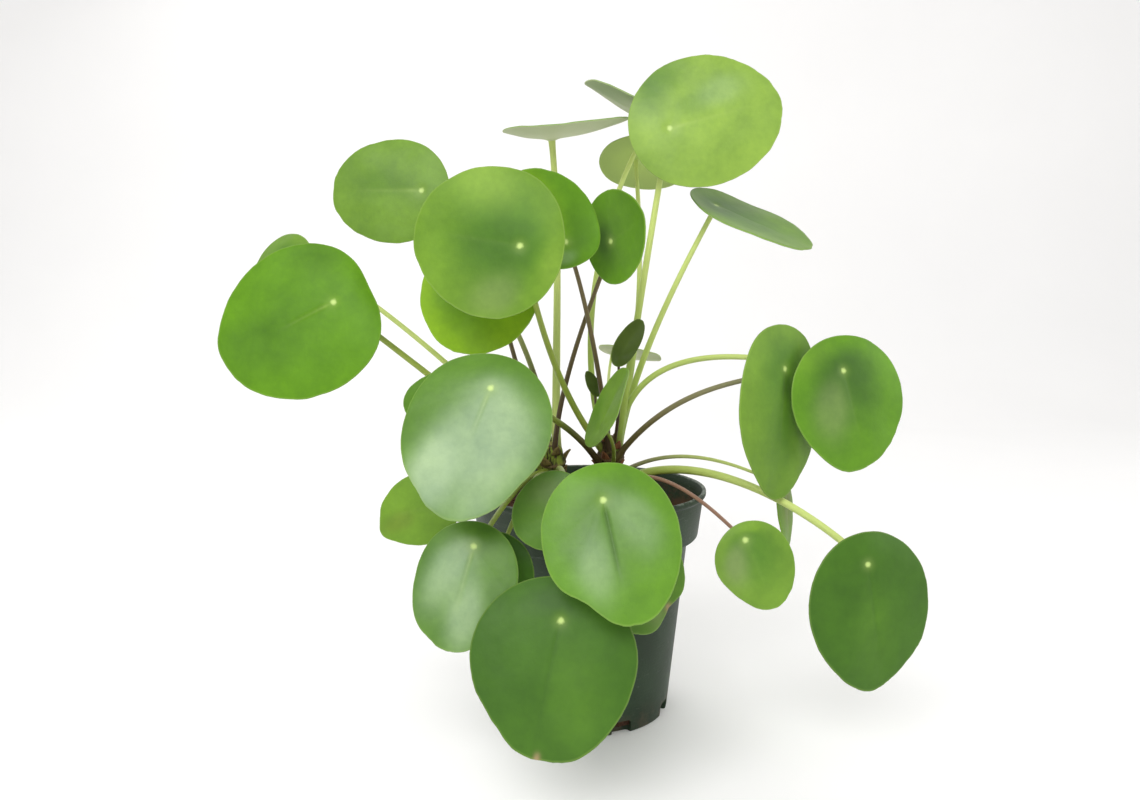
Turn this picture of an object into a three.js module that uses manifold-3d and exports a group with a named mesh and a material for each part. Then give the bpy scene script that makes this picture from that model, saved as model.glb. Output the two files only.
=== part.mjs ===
// A potted Chinese money plant (Pilea peperomioides), in millimetres, +Z up.
// The origin is the centre of the pot's foot, on the surface that it stands on.
// The front of the plant looks along -Y, and +X is to its right.

import * as THREE from "three";
import { mergeVertices } from "three/addons/utils/BufferGeometryUtils.js";
import Module from "manifold-3d";

const wasm = await Module();
wasm.setup();

// ---------------------------------------------------------------- driving dimensions

const GAP = 0.3;

const POT = {
  height: 101,
  footRadius: 36.5,
  neckRadius: 45,
  neckHeight: 79,
  bandRadius: 49.5,
  lipRadius: 53,
  lipHeight: 3,
  wall: 1.6,
  floor: 2.4,
  step: 1.5,
  footBevel: 1.5,
  lipBevel: 0.8,
  lipFlare: 1.2,
  sides: 48,
};
const DRAIN = { count: 8, width: 9, depth: 7, height: 6 };

// The soil's surface is a low mound with two sets of waves round it. Each set has its own share of the
// relief, its count of waves and its drift with the radius.
const SOIL = { top: 88, relief: 1.6, rings: 5, holeRadius: 6.8, holeDepth: 24, holeSides: 20 };
const SOIL_WAVES = [
  { share: 0.5, count: 3, drift: 0.21 },
  { share: 0.3, count: 7, drift: -0.35 },
];

// The stem bulges between its leaf scars, and narrows over its last part. Its foot stands upright as
// far as the knee.
const STEM = {
  baseRadius: 5.6,
  crownRadius: 6,
  scarDepth: 0.2,
  scars: 6,
  knee: 0.6,
  domeStart: 0.93,
  domeShare: 0.72,
  sides: 16,
  steps: 12,
};
const BLADE = { thickness: 1, sides: 28, rings: 2, egg: 0.08 };
const STALK = { tipShare: 0.68, clearance: 0.4, sides: 7, steps: 11 };

const stems = {
  left: { foot: [-14, 4, SOIL.top - SOIL.holeDepth + GAP], top: [-17, -1, 121] },
  right: { foot: [9, 5, SOIL.top - SOIL.holeDepth + GAP], top: [11, 0, 124] },
};

const COLOURS = {
  pot: 0x3a4744,
  soil: 0x3b2a1e,
  bark: 0x6a4a2e,
  green: 0x4f9a2c,
  deep: 0x2f7a25,
  light: 0x86b840,
  glossy: 0x4a8f3c,
  pale: 0xb9cf6a,
  olive: 0x8c9a4a,
  brown: 0x6b4a36,
  red: 0x9a6a58,
};
const ROUGHNESS = { pot: 0.6, soil: 0.95, bark: 0.85, blade: 0.45, stalk: 0.5 };

// Each leaf, from the top of the plant to its foot.
// dot: where the stalk meets the blade. face: the way the upper side looks, as degrees to the right
// of the front, degrees above the level, and the tip's turn to the right of straight down.
// size: length and width of the blade. base: share of the length behind the dot.
// cup: how far the rim stands above the dot. fold: how far the halves rise beside the midrib.
// root: the place on the stem, as degrees round it from +X and height. via: where the stalk heads
// from its root. tail: how far behind the blade the stalk turns square to it, or back: the point that
// it comes round by, where another leaf is in the way. stalk: root radius.
// bumps: where the outline swells, or draws in where negative, each as degrees from the tip, share of
// the way out from the dot, and degrees wide.
const leaves = [
  { id: "08", dot: [33, -20, 255], face: [0, 8, 106], size: [64, 54.5], base: 0.25, cup: -3, fold: 1,
    stem: "right", root: [-40, 122], via: [20, -5, 168], tail: 14, stalk: 2.3,
    bumps: [[28, -0.05, 22], [-19, 0.04, 16]], tones: ["light", "pale"] },
  { id: "09", dot: [-16, 0, 255], face: [-30, 80, 120], size: [54, 50], base: 0.38, cup: 4.5, fold: 1,
    stem: "left", root: [20, 119], via: [-15, 2, 165], tail: 50, stalk: 1.9, tones: ["green", "pale"] },
  { id: "10", dot: [30, 12, 265], face: [83, 64, 180], size: [50, 44], base: 0.3, cup: 1, fold: 1,
    stem: "right", root: [145, 121], via: [-11, 8, 178], back: [14.5, 13, 245], stalk: 1.5,
    tones: ["green", "pale"] },
  { id: "11", dot: [22.9, 32, 251], face: [175, 60, -50], size: [42.5, 38.5], base: 0.38, cup: -1, fold: 1,
    stem: "right", root: [70, 121], via: [30, 10, 175], tail: 12, stalk: 1.4, tones: ["deep", "pale"] },
  { id: "12", dot: [57, 5, 226.6], face: [40, 58, 35], size: [58, 47], base: 0.22, cup: 1, fold: 1,
    stem: "right", root: [30, 119], via: [19, 3, 157], back: [48, 9, 208.5], stalk: 1.6,
    tones: ["green", "olive"] },
  { id: "03", dot: [-74.6, 10, 233.4], face: [-10, 8, -91.5], size: [55, 47], base: 0.222, cup: -2, fold: 1,
    stem: "left", root: [100, 119], via: [-20, 6, 175], tail: 12, stalk: 1.4, tones: ["green", "olive"] },
  { id: "06", dot: [-9.5, -50, 207], face: [20, 15, -142], size: [41.5, 36], base: 0.235, cup: 2, fold: 2,
    stem: "right", root: [-112, 121], via: [5, -12, 158], back: [-5.5, -43, 202], stalk: 1.2,
    bumps: [[-160, 0.15, 22]], tones: ["green", "brown"] },
  { id: "07", dot: [8, -35, 208], face: [-52, -3, 110], size: [36.5, 36.5], base: 0.345, cup: 2, fold: 2,
    stem: "left", root: [-60, 118], via: [-14, -8, 150], back: [6, -26, 196], stalk: 1.2,
    tones: ["deep", "brown"] },
  { id: "04", dot: [-26, -75, 204], face: [-8, 5, -100], size: [56, 54], base: 0.28, cup: -3, fold: 1,
    stem: "right", root: [178, 120], via: [-20, -20, 152], tail: 12, stalk: 1.5,
    tones: ["light", "olive"] },
  { id: "05", dot: [-40, -38, 197], face: [-5, 12, -25], size: [49, 47], base: 0.27, cup: -2, fold: 1,
    stem: "left", root: [-140, 119], via: [-35, -12, 165], tail: 12, stalk: 1.2,
    tones: ["green", "brown"] },
  { id: "02", dot: [-134, 0, 203], face: [-33, 20, -14], size: [44, 38], base: 0.27, cup: -2, fold: 1,
    stem: "left", root: [150, 118], via: [-53, 6, 148], back: [-115, 20, 202], stalk: 1.4,
    tones: ["deep", "pale"] },
  { id: "01", dot: [-101, -45, 184], face: [-5, 15, -62], size: [66, 62], base: 0.25, cup: -3, fold: 1,
    stem: "left", root: [180, 112], via: [-55, -14, 143], tail: 10, stalk: 1.6,
    bumps: [[180, -0.12, 18], [134, 0.04, 20]], tones: ["green", "olive"] },
  { id: "13", dot: [79.8, -35, 156.8], face: [38, 4, -7], size: [71, 49], base: 0.25, cup: -2, fold: 2,
    stem: "right", root: [-66, 116], via: [36, -29, 154], back: [70, -25.5, 149.5], stalk: 1.4,
    bumps: [[38, -0.05, 22], [-35, -0.04, 24], [150, 0.08, 22]], tones: ["green", "olive"] },
  { id: "14", dot: [104.8, -31, 155.8], face: [18, 10, 12], size: [55, 53], base: 0.26, cup: -2, fold: 1,
    stem: "right", root: [-8, 115], via: [9, -4, 190], back: [117.8, -4, 147.5], stalk: 1.5,
    bumps: [[-21, 0.035, 18], [35, -0.03, 25]], tones: ["green", "pale"] },
  { id: "19", dot: [-36, -85, 154], face: [-5, 25, -18], size: [62, 52], base: 0.22, cup: -3, fold: 2,
    stem: "right", root: [-155, 112], via: [-10, -22, 140], tail: 12, stalk: 1.5,
    bumps: [[-32, -0.065, 20], [67, -0.06, 15]], tones: ["glossy", "olive"] },
  { id: "21", dot: [-56, -60, 151.5], face: [-10, 10, -60], size: [24, 22], base: 0.25, cup: -1, fold: 1,
    stem: "left", root: [-160, 114], via: [-28, -19, 132], tail: 8, stalk: 1.1, tones: ["deep"] },
  { id: "28", dot: [13, -20, 161], face: [20, 10, 145], size: [23, 10], base: 0.2, cup: 1, fold: 2,
    stem: "right", root: [-78, 122], via: [15, -14, 140], tail: 3, stalk: 0.8, tones: ["deep"] },
  { id: "29", dot: [15, 86, 157], face: [140, 72, -51], size: [34, 32], base: 0.22, cup: 1, fold: 1,
    stem: "right", root: [95, 114], via: [10, 45, 146], tail: 10, stalk: 1, tones: ["light"] },
  { id: "31", dot: [3.6, -2, 144.3], face: [20, 10, -155], size: [12, 5.5], base: 0.2, cup: 1, fold: 1,
    stem: "right", root: [-146, 122], via: [3, -3, 133], tail: 2, stalk: 0.7, tones: ["deep"] },
  { id: "30", dot: [4, -30, 132], face: [-67, 25, 170], size: [36, 22], base: 0.25, cup: 1, fold: 2,
    stem: "right", root: [-80, 113], via: [12, -18, 118], tail: 8, stalk: 1, tones: ["light"] },
  { id: "23", dot: [3, -108, 119], face: [0, 20, 12], size: [53.5, 45.5], base: 0.235, cup: -3, fold: 3,
    stem: "right", root: [-110, 106], via: [8, -45, 124], tail: 14, stalk: 1.5,
    bumps: [[-40, -0.1, 20], [24, 0.04, 22]], tones: ["glossy", "olive"] },
  { id: "25", dot: [-8, -80, 112], face: [-5, 15, -60], size: [30, 28], base: 0.25, cup: -1, fold: 1,
    stem: "left", root: [-50, 110], via: [-12, -40, 124], tail: 10, stalk: 1.2,
    tones: ["green", "olive"] },
  { id: "20", dot: [-60, -55, 105], face: [-15, 15, -75], size: [33, 28], base: 0.26, cup: -1, fold: 1,
    stem: "left", root: [-160, 106], via: [-34, -22, 116], tail: 10, stalk: 1.2, bumps: [[28, 0.11, 20]],
    tones: ["light", "pale"] },
  { id: "17", dot: [92, 10, 100], face: [68, 5, 10], size: [42, 36], base: 0.25, cup: -1, fold: 1,
    stem: "right", root: [15, 108], via: [46, 5, 127], tail: 8, stalk: 1, tones: ["light", "olive"] },
  { id: "22", dot: [-43, -82, 96], face: [-10, 20, -12], size: [47, 38], base: 0.19, cup: -2, fold: 2,
    stem: "left", root: [-130, 111], via: [-30, -36, 116], tail: 10, stalk: 1.4, bumps: [[-21, -0.055, 15]],
    tones: ["glossy", "olive"] },
  { id: "15", dot: [58, -70, 95], face: [5, 10, 22], size: [34, 30], base: 0.18, cup: -1, fold: 1,
    stem: "right", root: [-50, 104], via: [32, -28, 123], tail: 10, stalk: 1, bumps: [[-61, -0.13, 30]],
    tones: ["light", "red"] },
  { id: "27", dot: [11, -84, 95], face: [10, 15, 25], size: [42, 38], base: 0.25, cup: -2, fold: 1,
    stem: "right", root: [-80, 103], via: [14, -44, 128], tail: 10, stalk: 1.2, bumps: [[22, -0.14, 22]],
    tones: ["green", "olive"] },
  { id: "26", dot: [-36, -68, 88], face: [-10, 15, -10], size: [36, 32], base: 0.25, cup: -1, fold: 1,
    stem: "left", root: [-105, 103], via: [-20, -36, 132], tail: 10, stalk: 1.2, tones: ["deep"] },
  { id: "16", dot: [106.3, -65, 84], face: [17, 5, 8], size: [62, 52], base: 0.19, cup: -3, fold: 2,
    stem: "right", root: [-20, 105], via: [50, -8, 126], back: [98, -44, 94], stalk: 2,
    bumps: [[29, -0.075, 22], [122, 0.03, 25]], tones: ["deep", "pale"] },
  { id: "24", dot: [-11.2, -105, 76.5], face: [-5, 20, -11], size: [60, 56.5], base: 0.24, cup: -3, fold: 1,
    stem: "left", root: [-75, 103], via: [-14, -46, 136], tail: 12, stalk: 1.7,
    bumps: [[-44, -0.055, 26], [33, 0.03, 20]], tones: ["green", "olive"] },
];

// ---------------------------------------------------------------- shared helpers

const plant = new THREE.Group();

function material(colour, roughness) {
  return new THREE.MeshStandardMaterial({ color: colour, roughness, metalness: 0 });
}

function addPiece(name, geometry, colour, roughness) {
  const mesh = new THREE.Mesh(geometry, material(colour, roughness));
  mesh.name = name;
  plant.add(mesh);
}

function meshFrom(vertices, triangles) {
  const geometry = new THREE.BufferGeometry();
  geometry.setAttribute("position", new THREE.Float32BufferAttribute(vertices, 3));
  geometry.setIndex(triangles);
  return geometry;
}

function toSolid(geometry) {
  const bare = geometry.clone();
  bare.deleteAttribute("normal");
  bare.deleteAttribute("uv");
  const merged = mergeVertices(bare, 1e-4);
  return new wasm.Manifold(new wasm.Mesh({
    numProp: 3,
    vertProperties: new Float32Array(merged.attributes.position.array),
    triVerts: new Uint32Array(merged.index.array),
  }));
}

function toGeometry(solid) {
  const mesh = solid.getMesh();
  return meshFrom(Array.from(mesh.vertProperties), Array.from(mesh.triVerts));
}

// A closed skin over rings of points: each ring has the same count, and the ends close on a point.
function skinRings(rings, start, end) {
  const count = rings[0].length;
  const vertices = [start, ...rings.flat(), end].flatMap((p) => [p.x, p.y, p.z]);
  const triangles = [];
  const last = 1 + rings.length * count;
  for (let k = 0; k < count; k += 1) {
    const next = (k + 1) % count;
    triangles.push(0, 1 + next, 1 + k);
    for (let ring = 0; ring + 1 < rings.length; ring += 1) {
      const a = 1 + ring * count;
      const b = a + count;
      triangles.push(a + k, a + next, b + k, a + next, b + next, b + k);
    }
    const top = last - count;
    triangles.push(last, top + k, top + next);
  }
  return meshFrom(vertices, triangles);
}

// A round bar along a curve, with its own radius at each step and flat ends.
function taperedBar(curve, radiusAt, steps, sides) {
  const frames = curve.computeFrenetFrames(steps, false);
  const rings = [];
  for (let step = 0; step <= steps; step += 1) {
    const centre = curve.getPointAt(step / steps);
    const radius = radiusAt(step / steps);
    const ring = [];
    for (let k = 0; k < sides; k += 1) {
      const turn = (2 * Math.PI * k) / sides;
      ring.push(centre.clone()
        .addScaledVector(frames.normals[step], radius * Math.cos(turn))
        .addScaledVector(frames.binormals[step], radius * Math.sin(turn)));
    }
    rings.push(ring);
  }
  return skinRings(rings, curve.getPointAt(0), curve.getPointAt(1));
}

// ---------------------------------------------------------------- pot

function potRadius(height) {
  const share = height / POT.neckHeight;
  return THREE.MathUtils.lerp(POT.footRadius, POT.neckRadius, share);
}

function makePot() {
  const { height, footRadius, neckRadius, neckHeight, bandRadius, lipRadius, wall, floor, step } = POT;
  const { footBevel, lipBevel, lipFlare, lipHeight } = POT;
  const outline = [
    [0, 0],
    [footRadius - footBevel, 0],
    [footRadius, footBevel],
    [neckRadius, neckHeight],
    [bandRadius, neckHeight + step],
    [lipRadius - lipFlare, height - lipHeight],
    [lipRadius, height - lipHeight + lipBevel],
    [lipRadius, height - lipBevel],
    [lipRadius - lipBevel, height],
    [lipRadius - wall, height],
    [lipRadius - wall - lipBevel, height - lipBevel],
    [bandRadius - wall, neckHeight + step * 2],
    [neckRadius - wall, neckHeight + step],
    [potRadius(floor) - wall, floor],
    [0, floor],
  ];
  const profile = outline.map(([radius, z]) => new THREE.Vector2(radius, z));
  const shell = new THREE.LatheGeometry(profile, POT.sides).rotateX(Math.PI / 2);
  let solid = toSolid(shell);
  for (let k = 0; k < DRAIN.count; k += 1) {
    const hole = new THREE.BoxGeometry(DRAIN.depth, DRAIN.width, DRAIN.height * 2)
      .translate(footRadius, 0, 0)
      .rotateZ((2 * Math.PI * (k + 0.5)) / DRAIN.count);
    solid = solid.subtract(toSolid(hole));
  }
  return toGeometry(solid);
}

// ---------------------------------------------------------------- stems

function stemCurve(stem) {
  const foot = new THREE.Vector3(...stem.foot);
  const top = new THREE.Vector3(...stem.top);
  const knee = new THREE.Vector3(foot.x, foot.y, THREE.MathUtils.lerp(foot.z, top.z, STEM.knee));
  return new THREE.QuadraticBezierCurve3(foot, knee, top);
}

function stemRadius(share) {
  const grown = THREE.MathUtils.lerp(STEM.baseRadius, STEM.crownRadius, share);
  const scar = STEM.scarDepth * Math.cos(2 * Math.PI * STEM.scars * share);
  const dome = THREE.MathUtils.smoothstep(share, STEM.domeStart, 1);
  return (grown - STEM.scarDepth + scar) * THREE.MathUtils.lerp(1, STEM.domeShare, dome);
}

// The stem's skin runs straight from ring to ring.
function stemSkin(share) {
  const ring = Math.min(share, 1) * STEM.steps;
  const below = Math.floor(ring);
  const above = Math.ceil(ring);
  return THREE.MathUtils.lerp(stemRadius(below / STEM.steps), stemRadius(above / STEM.steps), ring - below);
}

function makeStem(stem) {
  return taperedBar(stemCurve(stem), stemRadius, STEM.steps, STEM.sides);
}

// ---------------------------------------------------------------- soil

function makeSoil() {
  const circle = (radius, heightAt) => Array.from({ length: POT.sides }, (_, k) => {
    const turn = (2 * Math.PI * k) / POT.sides;
    return new THREE.Vector3(radius * Math.cos(turn), radius * Math.sin(turn), heightAt(turn, radius));
  });
  const low = POT.floor + GAP;
  const shelf = POT.neckHeight + POT.step;
  const rimRadius = POT.bandRadius - POT.wall - GAP;
  const relief = (turn, radius) => SOIL_WAVES.reduce(
    (height, wave) => height + SOIL.relief * wave.share * Math.sin(wave.count * turn + radius * wave.drift),
    SOIL.top + SOIL.relief * (1 - radius / rimRadius),
  );
  const rings = [
    circle(potRadius(low) - POT.wall - GAP, () => low),
    circle(POT.neckRadius - POT.wall - GAP, () => shelf + GAP),
    circle(rimRadius, () => shelf + POT.step + GAP * 2),
  ];
  for (let ring = SOIL.rings; ring >= 1; ring -= 1) {
    rings.push(circle((rimRadius * ring) / SOIL.rings, relief));
  }
  const bottom = new THREE.Vector3(0, 0, low);
  const middle = new THREE.Vector3(0, 0, SOIL.top + SOIL.relief);
  let solid = toSolid(skinRings(rings, bottom, middle));
  const { holeRadius, holeDepth, holeSides } = SOIL;
  for (const stem of Object.values(stems)) {
    const hole = new THREE.CylinderGeometry(holeRadius, holeRadius, holeDepth * 2, holeSides)
      .rotateX(Math.PI / 2)
      .translate(stem.foot[0], stem.foot[1], SOIL.top);
    solid = solid.subtract(toSolid(hole));
  }
  return toGeometry(solid);
}

// ---------------------------------------------------------------- leaves

// The blade's own axes: out along the tip, across it, and up from the upper side.
function bladeAxes([facing, lift, roll]) {
  const turn = THREE.MathUtils.degToRad(facing);
  const raise = THREE.MathUtils.degToRad(lift);
  const spin = THREE.MathUtils.degToRad(roll);
  const up = new THREE.Vector3(
    Math.sin(turn) * Math.cos(raise),
    -Math.cos(turn) * Math.cos(raise),
    Math.sin(raise),
  );
  const down = new THREE.Vector3(0, 0, -1).addScaledVector(up, up.z).normalize();
  const side = up.clone().cross(down);
  const tip = down.multiplyScalar(Math.cos(spin)).addScaledVector(side, Math.sin(spin));
  const across = up.clone().cross(tip);
  return { tip, across, up };
}

// How far the outline swells at a turn, as a share of the way out. Each bump fades with its distance,
// measured straight across a circle of radius 1, so that it closes smoothly all round.
function outlineSwell(bumps, turn) {
  return bumps.reduce((swell, [place, height, width]) => {
    const apart = 2 * Math.sin((turn - THREE.MathUtils.degToRad(place)) / 2);
    return swell + height * Math.exp(-((apart / THREE.MathUtils.degToRad(width)) ** 2));
  }, 0);
}

// A point of the upper side, by its share of the way from the dot to the edge and its turn.
function bladePoint(leaf, share, turn) {
  const [length, width] = leaf.size;
  const reach = share * (1 + outlineSwell(leaf.bumps ?? [], turn) * share ** 2);
  const x = reach * length * (0.5 - leaf.base + 0.5 * Math.cos(turn));
  const y = reach * width * 0.5 * Math.sin(turn) * (1 - BLADE.egg * Math.cos(turn));
  const beside = Math.abs(y) / (width / 2);
  const z = leaf.cup * share ** 2 + leaf.fold * beside * Math.max(0, Math.cos(turn));
  return new THREE.Vector3(x, y, z);
}

function makeBlade(leaf) {
  const { tip, across, up } = bladeAxes(leaf.face);
  const dot = new THREE.Vector3(...leaf.dot);
  const place = (p, depth) => dot.clone()
    .addScaledVector(tip, p.x)
    .addScaledVector(across, p.y)
    .addScaledVector(up, p.z - depth);
  const ringAt = (ring, depth) => Array.from({ length: BLADE.sides }, (_, k) => {
    const turn = (2 * Math.PI * k) / BLADE.sides;
    return place(bladePoint(leaf, ring / BLADE.rings, turn), depth);
  });
  const rings = [];
  for (let ring = 1; ring <= BLADE.rings; ring += 1) {
    rings.push(ringAt(ring, BLADE.thickness));
  }
  for (let ring = BLADE.rings; ring >= 1; ring -= 1) {
    rings.push(ringAt(ring, 0));
  }
  const origin = new THREE.Vector3(0, 0, 0);
  return skinRings(rings, place(origin, BLADE.thickness), place(origin, 0));
}

// The stalk starts on the stem's side and ends under the dot. Both ends stand off by what their
// slanted rims need, and by the gap.
function stalkCurve(leaf, gapToDot) {
  const { up } = bladeAxes(leaf.face);
  const dot = new THREE.Vector3(...leaf.dot);
  const via = new THREE.Vector3(...leaf.via);
  const [around, height] = leaf.root;
  const stem = stems[leaf.stem];
  const share = (height - stem.foot[2]) / (stem.top[2] - stem.foot[2]);
  const axis = stemCurve(stem).getPointAt(Math.min(share, 1));
  const turn = THREE.MathUtils.degToRad(around);
  const outward = new THREE.Vector3(Math.cos(turn), Math.sin(turn), 0);
  const start = new THREE.Vector3(axis.x, axis.y, height)
    .addScaledVector(outward, stemSkin(share) + GAP);
  const heading = via.clone().sub(start).normalize();
  start.addScaledVector(outward, leaf.stalk * slant(heading, outward));
  const back = leaf.back
    ? new THREE.Vector3(...leaf.back)
    : dot.clone().addScaledVector(up, -leaf.tail);
  const arrival = dot.clone().sub(back).normalize();
  const end = dot.clone()
    .addScaledVector(up, -gapToDot - leaf.stalk * STALK.tipShare * slant(arrival, up));
  return new THREE.CubicBezierCurve3(start, via, back, end);
}

function slant(direction, axis) {
  return Math.sqrt(Math.max(0, 1 - direction.dot(axis) ** 2));
}

function makeStalk(leaf, gapToDot) {
  const radiusAt = (share) => leaf.stalk * THREE.MathUtils.lerp(1, STALK.tipShare, share);
  return taperedBar(stalkCurve(leaf, gapToDot), radiusAt, STALK.steps, STALK.sides);
}

function addLeaf(leaf) {
  const [bladeTone, stalkTone] = leaf.tones;
  if (stalkTone) {
    const stalk = makeStalk(leaf, BLADE.thickness + STALK.clearance);
    addPiece(`leaf_${leaf.id}_blade`, makeBlade(leaf), COLOURS[bladeTone], ROUGHNESS.blade);
    addPiece(`leaf_${leaf.id}_stalk`, stalk, COLOURS[stalkTone], ROUGHNESS.stalk);
    return;
  }
  const fused = toSolid(makeBlade(leaf)).add(toSolid(makeStalk(leaf, BLADE.thickness / 2)));
  addPiece(`leaf_${leaf.id}`, toGeometry(fused), COLOURS[bladeTone], ROUGHNESS.blade);
}

// ---------------------------------------------------------------- the whole plant

addPiece("pot", makePot(), COLOURS.pot, ROUGHNESS.pot);
addPiece("soil", makeSoil(), COLOURS.soil, ROUGHNESS.soil);
addPiece("stem_left", makeStem(stems.left), COLOURS.bark, ROUGHNESS.bark);
addPiece("stem_right", makeStem(stems.right), COLOURS.bark, ROUGHNESS.bark);
leaves.forEach(addLeaf);

export default plant;
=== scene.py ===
import math
import random

import bmesh
import bpy
from bpy.props import FloatProperty, FloatVectorProperty, IntProperty, PointerProperty
from mathutils import Matrix, Vector, noise


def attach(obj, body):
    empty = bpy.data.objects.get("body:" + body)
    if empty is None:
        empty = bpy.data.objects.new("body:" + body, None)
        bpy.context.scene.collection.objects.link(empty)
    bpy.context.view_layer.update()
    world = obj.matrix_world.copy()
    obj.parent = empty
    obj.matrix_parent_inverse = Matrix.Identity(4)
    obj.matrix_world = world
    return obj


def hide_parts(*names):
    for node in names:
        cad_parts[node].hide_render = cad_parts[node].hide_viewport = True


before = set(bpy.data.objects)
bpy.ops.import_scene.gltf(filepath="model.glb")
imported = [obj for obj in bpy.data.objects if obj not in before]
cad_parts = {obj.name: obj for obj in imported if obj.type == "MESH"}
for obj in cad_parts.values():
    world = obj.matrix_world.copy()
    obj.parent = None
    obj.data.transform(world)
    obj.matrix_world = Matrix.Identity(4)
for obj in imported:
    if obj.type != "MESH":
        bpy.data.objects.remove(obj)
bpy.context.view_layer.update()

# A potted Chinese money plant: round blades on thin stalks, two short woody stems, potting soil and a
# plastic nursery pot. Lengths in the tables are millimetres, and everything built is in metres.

bl_info = {
    "name": "Potted Chinese Money Plant",
    "version": (1, 0, 0),
    "blender": (4, 5, 0),
    "location": "3D View > Sidebar > Money Plant",
    "description": "Grows a potted Chinese money plant around its packed solids",
    "category": "Add Mesh",
}

MM = 0.001

# ------------------------------------------------------------------ the plant's own measures

# A blade is narrower towards its tip by the share egg, and as much wider towards its base.
BLADE = {"thickness": 1.0, "egg": 0.08}
# A stalk thins to tip_share of its radius, and swells by tip_swelling of it under the dot. Its foot runs on
# into the bark, inwards and down. Its tip ends below the dot at the share tip_depth of the thickness, or
# lower where it comes in at a slant.
STALK = {"tip_share": 0.68, "tip_swelling": 0.2, "foot_in": 2.4, "foot_down": 2.0, "tip_depth": 0.85}
# knee is the share of a stem's height at which the handle of its curve stands. From dome_start of its length
# on it rounds off, to dome_share of its radius. axis_steps are for measuring along it.
STEM = {
    "base_radius": 5.6,
    "crown_radius": 6.0,
    "scar_depth": 0.2,
    "scars": 6,
    "knee": 0.6,
    "dome_start": 0.93,
    "dome_share": 0.72,
    "axis_steps": 200,
}
# Room that the solids leave between a stalk and the bark.
GAP = 0.3
STEMS = {
    "left": {"foot": (-14, 4, 64.3), "top": (-17, -1, 121)},
    "right": {"foot": (9, 5, 64.3), "top": (11, 0, 124)},
}
# One dry scale: its height, how much wider its foot is than its tip on each side, half the tip's width, how
# far its middle bows out, how far its tip leans out, and its thickness.
SCALE = {"height": 5.2, "half_width": 2.3, "half_tip": 0.15, "bow": 0.9, "lean": 1.3, "thickness": 0.25}
# The scales of a stem: how many, the turn from each to the next in radians, their distance from the stem's
# middle, their lean in radians, and the shares of the stem between which they stand.
SCALES = {"count": 13, "turn": 2.4, "radius": 5.1, "lean": 0.22, "between": (0.62, 0.97)}

# The pot's neck is the top of its taper, as radius and height. Above it the wall steps out to the rim
# band, whose radius then grows by band_slope of its height.
POT = {"neck": 45, "neck_height": 79, "step": 1.5, "band": 49.5, "band_slope": 0.13, "sides": 192}
# The drain holes: how many, and the rounded block that cuts each from the foot's edge.
DRAIN = {"count": 8, "depth": 7, "width": 9, "height": 12, "rounding": 1.6}
# The soil's side, as radius and height: at its foot, at the pot's neck and just above the step.
SOIL_SIDE = ((34.9, 2.8), (43.1, 80.9), (47.6, 82.6))
# How far the soil's middle stands above its edge.
SOIL_RELIEF = 1.6
# Waves round the soil's mound: share of the relief, count round the pot, and drift with the radius.
SOIL_WAVES = ((0.5, 3, 0.21), (0.3, 7, -0.35))
# Half the length, breadth and thickness of the three kinds of crumb.
CRUMBS = ((1.5, 0.7, 0.35), (1.0, 0.8, 0.7), (2.2, 0.4, 0.3))

# Tints of the living parts, as screen colours.
TINTS = {
    "fresh": (90, 138, 18),
    "grass": (82, 124, 30),
    "meadow": (106, 144, 40),
    "spring": (128, 170, 26),
    "deep": (62, 102, 22),
    "forest": (38, 70, 18),
    "bottle": (64, 82, 18),
    "lime": (132, 166, 60),
    "straw": (170, 194, 104),
    "sage": (122, 142, 86),
    "olive": (104, 122, 40),
    "ash": (190, 198, 158),
    # This tint is the lower side's usual colour, and its blots on the upper side are painted sheen.
    "sheen_and_underside": (148, 174, 130),
    "dot": (192, 216, 128),
    "apple": (202, 218, 124),
    "reed": (166, 192, 78),
    "moss": (148, 166, 64),
    "taupe": (130, 126, 86),
    "umber": (80, 60, 40),
    "plum": (106, 90, 54),
    "rose": (150, 112, 92),
}
# Tints of bark, soil and dry bits, as screen colours.
EARTHS = {
    "fissure": (48, 34, 26),
    "weathered": (138, 110, 84),
    "scar": (150, 122, 92),
    "streak": (58, 34, 24),
    "grit": (112, 84, 60),
    "dust": (104, 86, 68),
    "scorch": (156, 134, 98),
    "dry_crumb": (118, 84, 58),
    "damp_crumb": (60, 42, 30),
}
# The dark and the light tint of each stem's dry scales, as screen colours.
HUSKS = {"left": ((84, 70, 38), (142, 126, 74)), "right": ((92, 52, 34), (164, 110, 74))}
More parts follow.
